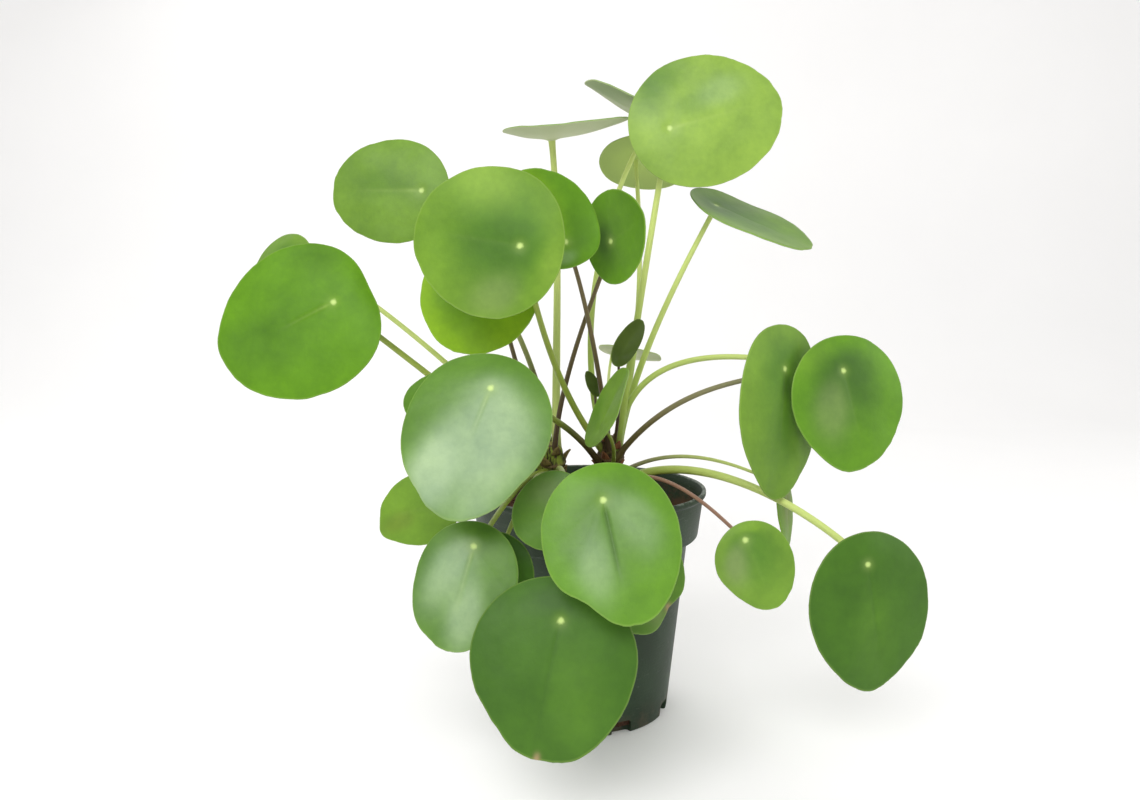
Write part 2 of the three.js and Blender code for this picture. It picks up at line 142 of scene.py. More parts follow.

# Each leaf, roughly from the top of the plant to its foot.
# dot is the point over the stalk. face turns the blade: degrees round the plant, degrees up, and roll.
# size is length and width, and base the dot's share of the length. cup, fold and tail are lengths.
# root is where the stalk leaves its stem: degrees round it, and height. via and back are the handles of the
# stalk's curve, where back is tail below the dot unless it is given. stalk is the stalk's radius.
# These are as in the solids. slim makes a stalk thinner than its solid.
# bumps push the outline out, or in where negative: (degrees from the tip, share of the reach, degrees wide).
# They are softer than the solid's on leaves 08, 15, 16, 19 and 22, and leaf 21 has one of its own.
# heart and rim tint the blade's middle and edge, foot and neck the stalk's two ends, under the lower side.
# polish is the gloss of the upper side, crease the depth of its midrib groove, and furrow the groove's share
# of the way out. ribs is how much paler the veins are, or darker where negative, where the darker veins are
# painted shade in the groove. eye is the strength of the pale dot. patches are soft blots: (tint, degrees
# from the tip, share of the way out, spread, strength). Some are the leaf's own tone, but the pale grey-green
# blots of the tint for sheen and undersides are painted sheen, and leaves 04, 07, 24 and 25 have other
# painted blots.
# scorch is a dry brown bit of the edge: (degrees from the tip, spread).
LEAVES = [
    # Leaf 08's pale grey-green blot is painted sheen.
    {"id": "08", "dot": (33, -20, 255), "face": (0, 8, 106), "size": (64, 54.5), "base": 0.25, "cup": -3,
     "fold": 1, "stem": "right", "root": (-40, 122), "via": (20, -5, 168), "tail": 14, "stalk": 2.3,
     "slots": ("leaf_light", "stalk_pale"), "foot": "reed", "neck": "apple", "slim": 0.76,
     "ribs": 0.1, "heart": "lime", "rim": "lime", "polish": 0.3, "crease": 0.05, "bumps": ((28, -0.02, 28),),
     "patches": (("grass", 119, 0.9, 0.45, 0.85), ("grass", 60, 0.35, 0.2, 0.35),
                 ("sheen_and_underside", 40, 0.6, 0.25, 0.3))},
    {"id": "09", "dot": (-16, 0, 255), "face": (-30, 80, 120), "size": (54, 50), "base": 0.38, "cup": 4.5,
     "fold": 1, "stem": "left", "root": (20, 119), "via": (-15, 2, 165), "tail": 50, "stalk": 1.9,
     "slots": ("leaf_green", "stalk_pale"), "foot": "apple", "neck": "apple", "heart": "grass",
     "rim": "fresh", "polish": 0.2, "under": "ash"},
    {"id": "10", "dot": (30, 12, 265), "face": (83, 64, 180), "size": (50, 44), "base": 0.3, "cup": 1,
     "fold": 1, "stem": "right", "root": (145, 121), "via": (-11, 8, 178), "back": (14.5, 13, 245),
     "stalk": 1.5, "slots": ("leaf_green", "stalk_pale"), "foot": "reed", "neck": "apple",
     "heart": "grass", "rim": "fresh", "polish": 0.2, "under": "ash"},
    {"id": "11", "dot": (22.9, 32, 251), "face": (175, 60, -50), "size": (42.5, 38.5), "base": 0.38,
     "cup": -1, "fold": 1, "stem": "right", "root": (70, 121), "via": (30, 10, 175), "tail": 12,
     "stalk": 1.4, "slots": ("leaf_deep", "stalk_pale"), "foot": "reed", "neck": "apple", "heart": "grass",
     "rim": "grass", "polish": 0.2, "under": "straw"},
    {"id": "12", "dot": (57, 5, 226.6), "face": (40, 58, 35), "size": (58, 47), "base": 0.22, "cup": 1,
     "fold": 1, "stem": "right", "root": (30, 119), "via": (19, 3, 157), "back": (48, 9, 208.5),
     "stalk": 1.6, "slots": ("leaf_green", "stalk_olive"), "foot": "reed", "neck": "apple",
     "heart": "grass", "rim": "meadow", "polish": 0.4},
    {"id": "03", "dot": (-74.6, 10, 233.4), "face": (-10, 8, -91.5), "size": (55, 47), "base": 0.222,
     "cup": -2, "fold": 1, "stem": "left", "root": (100, 119), "via": (-20, 6, 175), "tail": 12,
     "stalk": 1.4, "slots": ("leaf_green", "stalk_olive"), "foot": "umber", "neck": "apple",
     "ribs": 0.1, "heart": "meadow", "rim": "meadow", "polish": 0.2, "crease": 0.04,
     "patches": (("deep", -20, 0.45, 0.35, 0.5),)},
    # Leaf 06's pale grey-green blot is painted sheen.
    {"id": "06", "dot": (-9.5, -50, 207), "face": (20, 15, -142), "size": (41.5, 36), "base": 0.235,
     "cup": 2, "fold": 2, "stem": "right", "root": (-112, 121), "via": (5, -12, 158),
     "back": (-5.5, -43, 202), "stalk": 1.2, "slots": ("leaf_green", "stalk_brown"), "foot": "umber",
     "neck": "plum", "bumps": ((-160, 0.15, 22),), "heart": "fresh", "rim": "fresh", "polish": 0.1,
     "patches": (("deep", -128, 0.5, 0.45, 0.5), ("spring", -8, 0.6, 0.45, 0.8),
                 ("sheen_and_underside", 152, 0.6, 0.28, 0.35))},
    # Leaf 07's forest blot is painted shade over its left half.
    {"id": "07", "dot": (8, -35, 208), "face": (-52, -3, 110), "size": (36.5, 36.5), "base": 0.345,
     "cup": 2, "fold": 2, "stem": "left", "root": (-60, 118), "via": (-14, -8, 150), "back": (6, -26, 196),
     "stalk": 1.2, "slots": ("leaf_deep", "stalk_brown"), "foot": "umber", "neck": "plum", "heart": "grass",
     "rim": "fresh", "polish": 0.1,
     "patches": (("forest", 160, 0.3, 0.35, 0.6), ("fresh", -30, 0.6, 0.5, 0.6))},
    # Leaf 04's deep blot round the dot is painted shade, and its sage blot below the dot is painted sheen.
    {"id": "04", "dot": (-26, -75, 204), "face": (-8, 5, -100), "size": (56, 54), "base": 0.28, "cup": -3,
     "fold": 1, "stem": "right", "root": (178, 120), "via": (-20, -20, 152), "tail": 12, "stalk": 1.5,
     "slots": ("leaf_light", "stalk_olive"), "foot": "moss", "neck": "moss", "heart": "grass",
     "rim": "meadow", "polish": 0.08, "crease": 0.03,
     "patches": (("deep", 0, 0.12, 0.5, 0.85), ("sage", 100, 0.7, 0.35, 0.5),
                 ("lime", -75, 0.9, 0.4, 0.5), ("lime", 170, 0.9, 0.35, 0.5))},
    {"id": "05", "dot": (-40, -38, 197), "face": (-5, 12, -25), "size": (49, 47), "base": 0.27, "cup": -2,
     "fold": 1, "stem": "left", "root": (-140, 119), "via": (-35, -12, 165), "tail": 12, "stalk": 1.2,
     "slots": ("leaf_green", "stalk_brown"), "foot": "umber", "neck": "plum", "heart": "fresh",
     "rim": "spring", "polish": 0.05},
    {"id": "02", "dot": (-134, 0, 203), "face": (-33, 20, -14), "size": (44, 38), "base": 0.27, "cup": -2,
     "fold": 1, "stem": "left", "root": (150, 118), "via": (-53, 6, 148), "back": (-115, 20, 202),
     "stalk": 1.4, "slots": ("leaf_deep", "stalk_pale"), "foot": "moss", "neck": "apple", "heart": "grass",
     "rim": "meadow", "polish": 0.2},
    {"id": "01", "dot": (-101, -45, 184), "face": (-5, 15, -62), "size": (66, 62), "base": 0.25, "cup": -3,
     "fold": 1, "stem": "left", "root": (180, 112), "via": (-55, -14, 143), "tail": 10, "stalk": 1.6,
     "slots": ("leaf_green", "stalk_olive"), "foot": "moss", "neck": "moss",
     "bumps": ((180, -0.12, 18), (134, 0.04, 20)), "heart": "fresh", "rim": "fresh", "polish": 0.05,
     "ribs": 0.1, "crease": 0.5, "furrow": 0.4,
     "patches": (("deep", 10, 0.6, 0.5, 0.4), ("grass", -120, 0.7, 0.4, 0.5))},
    {"id": "13", "dot": (79.8, -35, 156.8), "face": (38, 4, -7), "size": (71, 49), "base": 0.25, "cup": -2,
     "fold": 2, "stem": "right", "root": (-66, 116), "via": (36, -29, 154), "back": (70, -25.5, 149.5),
     "stalk": 1.4, "slots": ("leaf_green", "stalk_olive"), "foot": "plum", "neck": "taupe",
     "bumps": ((38, -0.05, 22), (-35, -0.04, 24), (150, 0.08, 22)), "heart": "grass", "rim": "meadow",
     "polish": 0.15,
     "patches": (("forest", 18, 0.13, 0.12, 0.5), ("deep", 10, 0.55, 0.3, 0.4),
                 ("meadow", -50, 0.6, 0.35, 0.4))},
    {"id": "14", "dot": (104.8, -31, 155.8), "face": (18, 10, 12), "size": (55, 53), "base": 0.26,
     "cup": -2, "fold": 1, "stem": "right", "root": (-8, 115), "via": (9, -4, 190),
     "back": (117.8, -4, 147.5), "stalk": 1.5, "slots": ("leaf_green", "stalk_pale"), "foot": "reed",
     "neck": "apple", "bumps": ((-21, 0.035, 18), (35, -0.03, 25)), "heart": "deep", "rim": "fresh",
     "polish": 0.2, "patches": (("sage", -57, 0.5, 0.35, 0.5), ("meadow", -150, 0.9, 0.4, 0.4))},
    # Leaf 19's two pale grey-green blots are a painted reflection of the light.
    {"id": "19", "dot": (-36, -85, 154), "face": (-5, 25, -18), "size": (62, 52), "base": 0.22, "cup": -3,
     "fold": 2, "stem": "right", "root": (-155, 112), "via": (-10, -22, 140), "tail": 12, "stalk": 1.5,
     "slots": ("leaf_glossy", "stalk_olive"), "foot": "umber", "neck": "moss", "ribs": 0.1, "heart": "grass",
     "rim": "grass", "polish": 0.27, "crease": 0.3, "furrow": 0.35,
     "bumps": ((-32, -0.045, 30), (67, -0.05, 18)),
     "patches": (("sheen_and_underside", 45, 0.45, 0.7, 0.85), ("sheen_and_underside", -27, 0.75, 0.4, 1))},
    {"id": "21", "dot": (-56, -60, 151.5), "face": (-10, 10, -60), "size": (24, 22), "base": 0.25,
     "cup": -1, "fold": 1, "stem": "left", "root": (-160, 114), "via": (-28, -19, 132), "tail": 8,
     "stalk": 1.1, "slots": ("leaf_deep",), "foot": "moss", "neck": "moss", "heart": "grass",
     "rim": "grass", "polish": 0.1, "bumps": ((-100, -0.32, 55),)},
    {"id": "28", "dot": (13, -20, 161), "face": (20, 10, 145), "size": (23, 10), "base": 0.2, "cup": 1,
     "fold": 2, "stem": "right", "root": (-78, 122), "via": (15, -14, 140), "tail": 3, "stalk": 0.8,
     "slots": ("leaf_deep",), "foot": "umber", "neck": "umber", "heart": "bottle", "rim": "bottle",
     "polish": 0.1, "eye": 0},
    {"id": "29", "dot": (15, 86, 157), "face": (140, 72, -51), "size": (34, 32), "base": 0.22, "cup": 1,
     "fold": 1, "stem": "right", "root": (95, 114), "via": (10, 45, 146), "tail": 10, "stalk": 1,
     "slots": ("leaf_light",), "foot": "moss", "neck": "apple", "heart": "lime", "rim": "lime",
     "polish": 0.1, "under": "ash"},
    {"id": "31", "dot": (3.6, -2, 144.3), "face": (20, 10, -155), "size": (12, 5.5), "base": 0.2, "cup": 1,
     "fold": 1, "stem": "right", "root": (-146, 122), "via": (3, -3, 133), "tail": 2, "stalk": 0.7,
     "slots": ("leaf_deep",), "foot": "umber", "neck": "umber", "heart": "bottle", "rim": "bottle",
     "polish": 0.1, "eye": 0},
    {"id": "30", "dot": (4, -30, 132), "face": (-67, 25, 170), "size": (36, 22), "base": 0.25, "cup": 1,
     "fold": 2, "stem": "right", "root": (-80, 113), "via": (12, -18, 118), "tail": 8, "stalk": 1,
     "slots": ("leaf_light",), "foot": "moss", "neck": "moss", "heart": "meadow", "rim": "meadow",
     "polish": 0.2, "eye": 0, "patches": (("fresh", 90, 0.7, 0.4, 0.6),)},
    # Leaf 23's two pale grey-green blots are painted sheen.
    {"id": "23", "dot": (3, -108, 119), "face": (0, 20, 12), "size": (53.5, 45.5), "base": 0.235, "cup": -3,
     "fold": 3, "stem": "right", "root": (-110, 106), "via": (8, -45, 124), "tail": 14, "stalk": 1.5,
     "slots": ("leaf_glossy", "stalk_olive"), "foot": "moss", "neck": "moss",
     "bumps": ((-40, -0.1, 20), (24, 0.04, 22)), "heart": "grass", "rim": "fresh", "polish": 0.3,
     "crease": 0.6, "furrow": 0.6, "ribs": -0.4,
     "patches": (("sheen_and_underside", -35, 0.6, 0.35, 0.55), ("sheen_and_underside", 80, 0.45, 0.35, 0.4))},
    # Leaf 25's sage blot is painted sheen.
    {"id": "25", "dot": (-8, -80, 112), "face": (-5, 15, -60), "size": (30, 28), "base": 0.25, "cup": -1,
     "fold": 1, "stem": "left", "root": (-50, 110), "via": (-12, -40, 124), "tail": 10, "stalk": 1.2,
     "slots": ("leaf_green", "stalk_olive"), "foot": "moss", "neck": "moss", "heart": "grass",
     "rim": "grass", "polish": 0.2, "patches": (("sage", -90, 0.5, 0.5, 0.5),)},
    {"id": "20", "dot": (-60, -55, 105), "face": (-15, 15, -75), "size": (33, 28), "base": 0.26, "cup": -1,
     "fold": 1, "stem": "left", "root": (-160, 106), "via": (-34, -22, 116), "tail": 10, "stalk": 1.2,
     "slots": ("leaf_light", "stalk_pale"), "foot": "moss", "neck": "apple", "bumps": ((28, 0.11, 20),),
     "heart": "meadow", "rim": "meadow", "polish": 0.1, "patches": (("olive", 20, 0.7, 0.3, 0.5),)},
    {"id": "17", "dot": (92, 10, 100), "face": (68, 5, 10), "size": (42, 36), "base": 0.25, "cup": -1,
     "fold": 1, "stem": "right", "root": (15, 108), "via": (46, 5, 127), "tail": 8, "stalk": 1,
     "slots": ("leaf_light", "stalk_olive"), "foot": "taupe", "neck": "apple", "heart": "olive",
     "rim": "meadow", "polish": 0, "under": "meadow"},
    # Leaf 22's two pale grey-green blots are painted sheen.
    {"id": "22", "dot": (-43, -82, 96), "face": (-10, 20, -12), "size": (47, 38), "base": 0.19, "cup": -2,
     "fold": 2, "stem": "left", "root": (-130, 111), "via": (-30, -36, 116), "tail": 10, "stalk": 1.4,
     "slots": ("leaf_glossy", "stalk_olive"), "foot": "moss", "neck": "moss", "ribs": 0.1, "heart": "grass",
     "rim": "grass", "polish": 0.3, "crease": 0.35, "furrow": 0.6, "bumps": ((-21, -0.025, 26),),
     "patches": (("sheen_and_underside", -70, 0.4, 0.5, 0.8), ("sheen_and_underside", 20, 0.65, 0.4, 0.8), ("deep", 178, 0.9, 0.4, 0.6))},
    {"id": "15", "dot": (58, -70, 95), "face": (5, 10, 22), "size": (34, 30), "base": 0.18, "cup": -1,
     "fold": 1, "stem": "right", "root": (-50, 104), "via": (32, -28, 123), "tail": 10, "stalk": 1,
     "slots": ("leaf_light", "stalk_red"), "foot": "rose", "neck": "rose", "heart": "grass",
     "rim": "meadow", "polish": 0.25, "bumps": ((-61, -0.1, 38),),
     "patches": (("sage", -80, 0.5, 0.4, 0.7), ("spring", 160, 0.7, 0.3, 0.4))},
    {"id": "27", "dot": (11, -84, 95), "face": (10, 15, 25), "size": (42, 38), "base": 0.25, "cup": -2,
     "fold": 1, "stem": "right", "root": (-80, 103), "via": (14, -44, 128), "tail": 10, "stalk": 1.2,
     "slots": ("leaf_green", "stalk_olive"), "foot": "moss", "neck": "moss", "scorch": (22, 0.1),
     "bumps": ((22, -0.14, 22),), "heart": "grass", "rim": "grass", "polish": 0.2,
     "patches": (("sage", 5, 0.8, 0.3, 0.6),)},
    {"id": "26", "dot": (-36, -68, 88), "face": (-10, 15, -10), "size": (36, 32), "base": 0.25, "cup": -1,
     "fold": 1, "stem": "left", "root": (-105, 103), "via": (-20, -36, 132), "tail": 10, "stalk": 1.2,
     "slots": ("leaf_deep",), "foot": "moss", "neck": "moss", "heart": "deep", "rim": "deep",
     "polish": 0.1},
    {"id": "16", "dot": (106.3, -65, 84), "face": (17, 5, 8), "size": (62, 52), "base": 0.19, "cup": -3,
     "fold": 2, "stem": "right", "root": (-20, 105), "via": (50, -8, 126), "back": (98, -44, 94),
     "stalk": 2, "slots": ("leaf_deep", "stalk_pale"), "foot": "moss", "neck": "apple", "heart": "deep",
     "rim": "deep", "polish": 0.12, "crease": 0.12, "ribs": -0.1,
     "bumps": ((29, -0.05, 32), (122, 0.03, 25)), "patches": (("grass", 0, 0.55, 0.4, 0.45),)},
    # Leaf 24's forest blot towards its base is the painted shadow of leaf 23 above it.
    {"id": "24", "dot": (-11.2, -105, 76.5), "face": (-5, 20, -11), "size": (60, 56.5), "base": 0.24,
     "cup": -3, "fold": 1, "stem": "left", "root": (-75, 103), "via": (-14, -46, 136), "tail": 12,
     "stalk": 1.7, "slots": ("leaf_green", "stalk_olive"), "foot": "moss", "neck": "moss",
     "scorch": (4, 0.045), "bumps": ((-44, -0.055, 26), (33, 0.03, 20)), "heart": "deep", "rim": "deep",
     "polish": 0.12, "crease": 0.15, "furrow": 0.9, "ribs": -0.15,
     "patches": (("grass", 40, 0.6, 0.4, 0.5), ("forest", -170, 0.5, 0.3, 0.3))},
]

# ------------------------------------------------------------------ colours and settings


def screen(red, green, blue):
    """A screen colour as the linear values that shaders use."""
    def linear(value):
        share = value / 255
        return share / 12.92 if share <= 0.04045 else ((share + 0.055) / 1.055) ** 2.4
    return (linear(red), linear(green), linear(blue))


def earth(name):
    return screen(*EARTHS[name])


def tint_property(name, colour):
    return FloatVectorProperty(name=name.capitalize(), description=f"The tint called {name}",
                               default=screen(*colour), subtype="COLOR", min=0, max=1)


class PlantTints(bpy.types.PropertyGroup):
    """Tints of the living parts."""
    __annotations__ = {name: tint_property(name, colour) for name, colour in TINTS.items()}


class LeafSettings(bpy.types.PropertyGroup):
    """How the blades and stalks are finished."""
    edge_thickness: FloatProperty(
        name="Edge thickness", description="Thickness of a blade at its edge",
        default=0.65 * MM, min=0.2 * MM, max=1 * MM, unit="LENGTH")
    outline_wave: FloatProperty(
        name="Outline wave", description="Unevenness of a blade's outline, as a share of its reach",
        default=0.008, min=0, max=0.05)
    edge_nicks: FloatProperty(
        name="Edge nicks", description="Small uneven bits of a blade's outline, as a share of its reach",
        default=0.05, min=0, max=0.2)
    ruffle: FloatProperty(
        name="Ruffle", description="Rise and fall of a blade's edge",
        default=0.35 * MM, min=0, max=2 * MM, unit="LENGTH")
    vein_depth: FloatProperty(
        name="Vein depth", description="Depth of the midrib groove where a leaf doesn't give its own",
        default=0.08 * MM, min=0, max=1.5 * MM, unit="LENGTH")
    dot_radius: FloatProperty(
        name="Dot radius", description="Radius of the pale dot over the stalk",
        default=1.35 * MM, min=0.5 * MM, max=5 * MM, unit="LENGTH")
    turns: IntProperty(name="Turns", description="Faces round a blade", default=112, min=24, max=256)
    rings: IntProperty(name="Rings", description="Faces from dot to dot over a blade's edge",
                       default=60, min=16, max=160)


class PotSettings(bpy.types.PropertyGroup):
    """Sizes and colours of the pot and of the soil in it."""
    height: FloatProperty(name="Height", description="Height of the pot", default=101 * MM, unit="LENGTH")
    foot_radius: FloatProperty(name="Foot radius", description="Radius of the pot's foot",
                               default=36.5 * MM, unit="LENGTH")
    lip_radius: FloatProperty(name="Lip radius", description="Radius over the lip",
                              default=53 * MM, unit="LENGTH")
    soil_top: FloatProperty(name="Soil top", description="Height of the soil at the pot's wall",
                            default=88 * MM, unit="LENGTH")
    plastic: FloatVectorProperty(name="Plastic", description="Colour of the pot",
                                 default=screen(42, 62, 40), subtype="COLOR", min=0, max=1)
    # On the lip this colour is both wear and a painted highlight.
    scuff_and_highlight: FloatVectorProperty(name="Scuff", description="Colour of the pot's scuffs and worn lip",
                               default=screen(138, 146, 138), subtype="COLOR", min=0, max=1)
    soil: FloatVectorProperty(name="Soil", description="Colour of the potting mix",
                              default=screen(92, 64, 46), subtype="COLOR", min=0, max=1)
    crumbs: IntProperty(name="Crumbs", description="Crumbs of bark and peat for each square metre",
                        default=150000, min=0, max=400000)


class StageSettings(bpy.types.PropertyGroup):
    """The floor, the light and the camera."""
    floor: FloatVectorProperty(name="Floor", description="Colour of the floor and the backdrop",
                               default=screen(246, 245, 244), subtype="COLOR", min=0, max=1)
    window_power: FloatProperty(name="Window power", description="Power of the large front light",
                                default=15, min=0, unit="POWER")
    sky: FloatProperty(name="Sky", description="Brightness of the even light from all round",
                       default=0.58, min=0, max=5)
    camera: FloatVectorProperty(name="Camera", description="Where the camera stands",
                                default=(-8 * MM, -400 * MM, 185 * MM), subtype="TRANSLATION", unit="LENGTH")
    dip: FloatProperty(name="Dip", description="How far the camera looks down",
                       default=math.radians(6.4), unit="ROTATION")
    lens: FloatProperty(name="Lens", description="Focal length on a 36 mm wide sensor", default=28.4)


# ------------------------------------------------------------------ node helpers


class Field:
    """A value in a node tree that takes plain arithmetic."""

    def __init__(self, tree, socket):
        self.tree = tree
        self.socket = socket

    def math(self, operation, *others):
        node = self.tree.nodes.new("ShaderNodeMath")
        node.operation = operation
        for entry, value in zip(node.inputs, (self, *others)):
            feed(self.tree, entry, value)
        return Field(self.tree, node.outputs[0])

    def __add__(self, other):
        return self.math("ADD", other)

    def __sub__(self, other):
        return self.math("SUBTRACT", other)

    def __mul__(self, other):
        return self.math("MULTIPLY", other)

    def __truediv__(self, other):
        return self.math("DIVIDE", other)

    def __pow__(self, other):
        return self.math("POWER", other)

    def __radd__(self, other):
        return self + other

    def __neg__(self):
        return self * -1

    def __rsub__(self, other):
        return -self + other


def feed(tree, entry, value):
    """Gives a node's input a field, a socket or a plain value."""
    if isinstance(value, Field):
        tree.links.new(value.socket, entry)
    elif isinstance(value, bpy.types.NodeSocket):
        tree.links.new(value, entry)
    elif value is not None:
        entry.default_value = value


def add_node(tree, kind, inputs=None, **traits):
    node = tree.nodes.new(kind)
    for name, value in traits.items():
        setattr(node, name, value)
    for name, value in (inputs or {}).items():
        feed(tree, node.inputs[name], value)
    return node


def sine(field):
    return field.math("SINE")


def cosine(field):
    return field.math("COSINE")


def root(field):
    return field.math("SQRT")


def hump(field):
    """One where the field is nought, falling away smoothly as it grows."""
    return (-field).math("EXPONENT")


def ease(field, low, high, start=0.0, end=1.0):
    """A smooth rise from start, where the field is low, to end, where it is high."""
    node = add_node(field.tree, "ShaderNodeMapRange", interpolation_type="SMOOTHSTEP")
    for entry, value in zip(node.inputs, (field, low, high, start, end)):
        feed(field.tree, entry, value)
    return Field(field.tree, node.outputs[0])


def vector(tree, *parts):
    node = add_node(tree, "ShaderNodeCombineXYZ")
    for entry, value in zip(node.inputs, parts):
        feed(tree, entry, value)
    return node.outputs[0]


def axes_of(tree, place):
    """The x, y and z of a place, as three fields."""
    node = add_node(tree, "ShaderNodeSeparateXYZ", {"Vector": place})
    return tuple(Field(tree, part) for part in node.outputs)


def position(tree):
    return add_node(tree, "GeometryNodeInputPosition").outputs[0]


def way_along(tree):
    """How far along its curve a point lies, from 0 to 1."""
    return Field(tree, add_node(tree, "GeometryNodeSplineParameter").outputs["Factor"])


def moved_to(tree, geometry, **places):
    """A geometry whose points are set to a Position, or moved by an Offset."""
    return add_node(tree, "GeometryNodeSetPosition", {"Geometry": geometry, **places}).outputs[0]


def speckle(tree, place, scale, detail=2.0, rough=0.5, seed=0.0):
    """Soft noise from 0 to 1 over a place."""
    inputs = {"Vector": place, "W": seed, "Scale": scale, "Detail": detail, "Roughness": rough}
    node = add_node(tree, "ShaderNodeTexNoise", inputs, noise_dimensions="4D")
    return Field(tree, node.outputs[0])


def chance(tree, low, high, seed, kind="FLOAT"):
    """A random value for each point between two values, as a number or, of kind FLOAT_VECTOR, a vector."""
    node = add_node(tree, "FunctionNodeRandomValue", {"Seed": seed}, data_type=kind)
    first, out = (0, 0) if kind == "FLOAT_VECTOR" else (2, 1)
    feed(tree, node.inputs[first], low)
    feed(tree, node.inputs[first + 1], high)
    return Field(tree, node.outputs[out])


def new_tree(name, inputs):
    """A geometry tree with named inputs, given as {name: default}, and one geometry output."""
    kinds = {float: "NodeSocketFloat", int: "NodeSocketInt", tuple: "NodeSocketVector",
             "material": "NodeSocketMaterial", "geometry": "NodeSocketGeometry", "object": "NodeSocketObject"}
    tree = bpy.data.node_groups.new(name, "GeometryNodeTree")
    for title, default in inputs.items():
        plain = type(default) in (float, int, tuple)
        kind = kinds[type(default)] if plain else kinds[default]
        socket = tree.interface.new_socket(title, in_out="INPUT", socket_type=kind)
        if plain:
            socket.default_value = default
    tree.interface.new_socket("Geometry", in_out="OUTPUT", socket_type="NodeSocketGeometry")
    entry = tree.nodes.new("NodeGroupInput")
    return tree, {title: Field(tree, entry.outputs[title]) for title in inputs}


def keep_value(tree, geometry, name, value):
    """Stores a field on the points under a name that the finishes read."""
    node = add_node(tree, "GeometryNodeStoreNamedAttribute", {"Geometry": geometry, "Name": name})
    feed(tree, node.inputs["Value"], value)
    return node.outputs[0]


def end_tree(tree, geometry, skin, smooth=True):
    """Ends a tree on real faces with their finish, shaded smooth or flat."""
    if smooth:
        geometry = add_node(tree, "GeometryNodeSetShadeSmooth", {"Geometry": geometry}).outputs[0]
    real = add_node(tree, "GeometryNodeRealizeInstances", {"Geometry": geometry})
    dressed = add_node(tree, "GeometryNodeSetMaterial", {"Geometry": real.outputs[0], "Material": skin})
    leave = tree.nodes.new("NodeGroupOutput")
    tree.links.new(dressed.outputs[0], leave.inputs[0])


def grow(name, tree, values, mesh=None):
    """A new piece with the mesh that a tree makes from these input values."""
    piece = bpy.data.objects.new(name, mesh or bpy.data.meshes.new(name))
    bpy.context.scene.collection.objects.link(piece)
    modifier = piece.modifiers.new(tree.name, "NODES")
    modifier.node_group = tree
    for item in tree.interface.items_tree:
        if item.in_out == "INPUT" and item.name in values:
            modifier[item.identifier] = values[item.name]
    graph = bpy.context.evaluated_depsgraph_get()
    grown = bpy.data.meshes.new_from_object(
        piece.evaluated_get(graph), preserve_all_data_layers=True, depsgraph=graph)
    piece.modifiers.remove(modifier)
    piece.data = grown
    if not grown.polygons:
        raise RuntimeError(f"{name} grew no faces")
    return piece


def mesh_from(name, mesh):
    """The finished mesh of an edit mesh, which is let go."""
    data = bpy.data.meshes.new(name)
    mesh.to_mesh(data)
    mesh.free()
    return data


def piece_from(name, mesh, *skins):
    """A new piece with a mesh and its finishes."""
    piece = bpy.data.objects.new(name, mesh)
    bpy.context.scene.collection.objects.link(piece)
    for skin in skins:
        mesh.materials.append(skin)
    return piece


def settle(piece, slot, *nodes):
    """Hands a finished piece to the frame."""
    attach(piece, "root")
    if nodes:
        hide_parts(*nodes)


# ------------------------------------------------------------------ finishes

# A noise's first number is its scale, in waves for each metre. The two numbers after a field in ease are
# where an effect starts and where it is full, and the factor after that is its strength.


class Finish:
    """A Principled finish whose colour, roughness and relief come from nodes."""

    def __init__(self, name, **levels):
        self.material = bpy.data.materials.new(name)
        self.material.use_nodes = True
        self.tree = self.material.node_tree
        self.shader = self.tree.nodes["Principled BSDF"]
        for title, level in levels.items():
            self.shader.inputs[title.replace("_", " ").title().replace("Ior", "IOR")].default_value = level
        self.place = add_node(self.tree, "ShaderNodeTexCoord").outputs["Object"]

    def read(self, name):
        node = add_node(self.tree, "ShaderNodeAttribute", attribute_name=name)
        return Field(self.tree, node.outputs["Fac"])

    def noise(self, scale, detail=2.0, rough=0.5, seed=0.0, place=None):
        return speckle(self.tree, place or self.place, scale, detail, rough, seed)

    def stretched(self, x, y, z):
        node = add_node(self.tree, "ShaderNodeMapping", {"Vector": self.place, "Scale": (x, y, z)})
        return node.outputs[0]

    def mix(self, share, first, second, blend="MIX"):
        node = add_node(self.tree, "ShaderNodeMix", data_type="RGBA", blend_type=blend)
        feed(self.tree, node.inputs[0], share)
        for entry, value in ((node.inputs[6], first), (node.inputs[7], second)):
            feed(self.tree, entry, (*value, 1) if isinstance(value, (tuple, list)) else value)
        return node.outputs[2]

    def colour(self, value):
        feed(self.tree, self.shader.inputs["Base Color"], value)

    def roughness(self, value):
        feed(self.tree, self.shader.inputs["Roughness"], value)

    def relief(self, height, distance):
        """Fine relief, with its height in shares of the distance."""
        node = add_node(self.tree, "ShaderNodeBump", {"Distance": distance, "Height": height})
        feed(self.tree, self.shader.inputs["Normal"], node.outputs[0])


def tint(name):
    """A tint of the living parts, as set in the panel."""
    return tuple(getattr(bpy.context.scene.plant_tints, name))


def spot(forward, aside, degrees, out, spread):
    """A soft round spot on a blade: degrees from its tip, share of the way out, and spread."""
    ahead = forward - out * math.cos(math.radians(degrees))
    beside = aside - out * math.sin(math.radians(degrees))
    return hump((ahead * ahead + beside * beside) / spread ** 2)


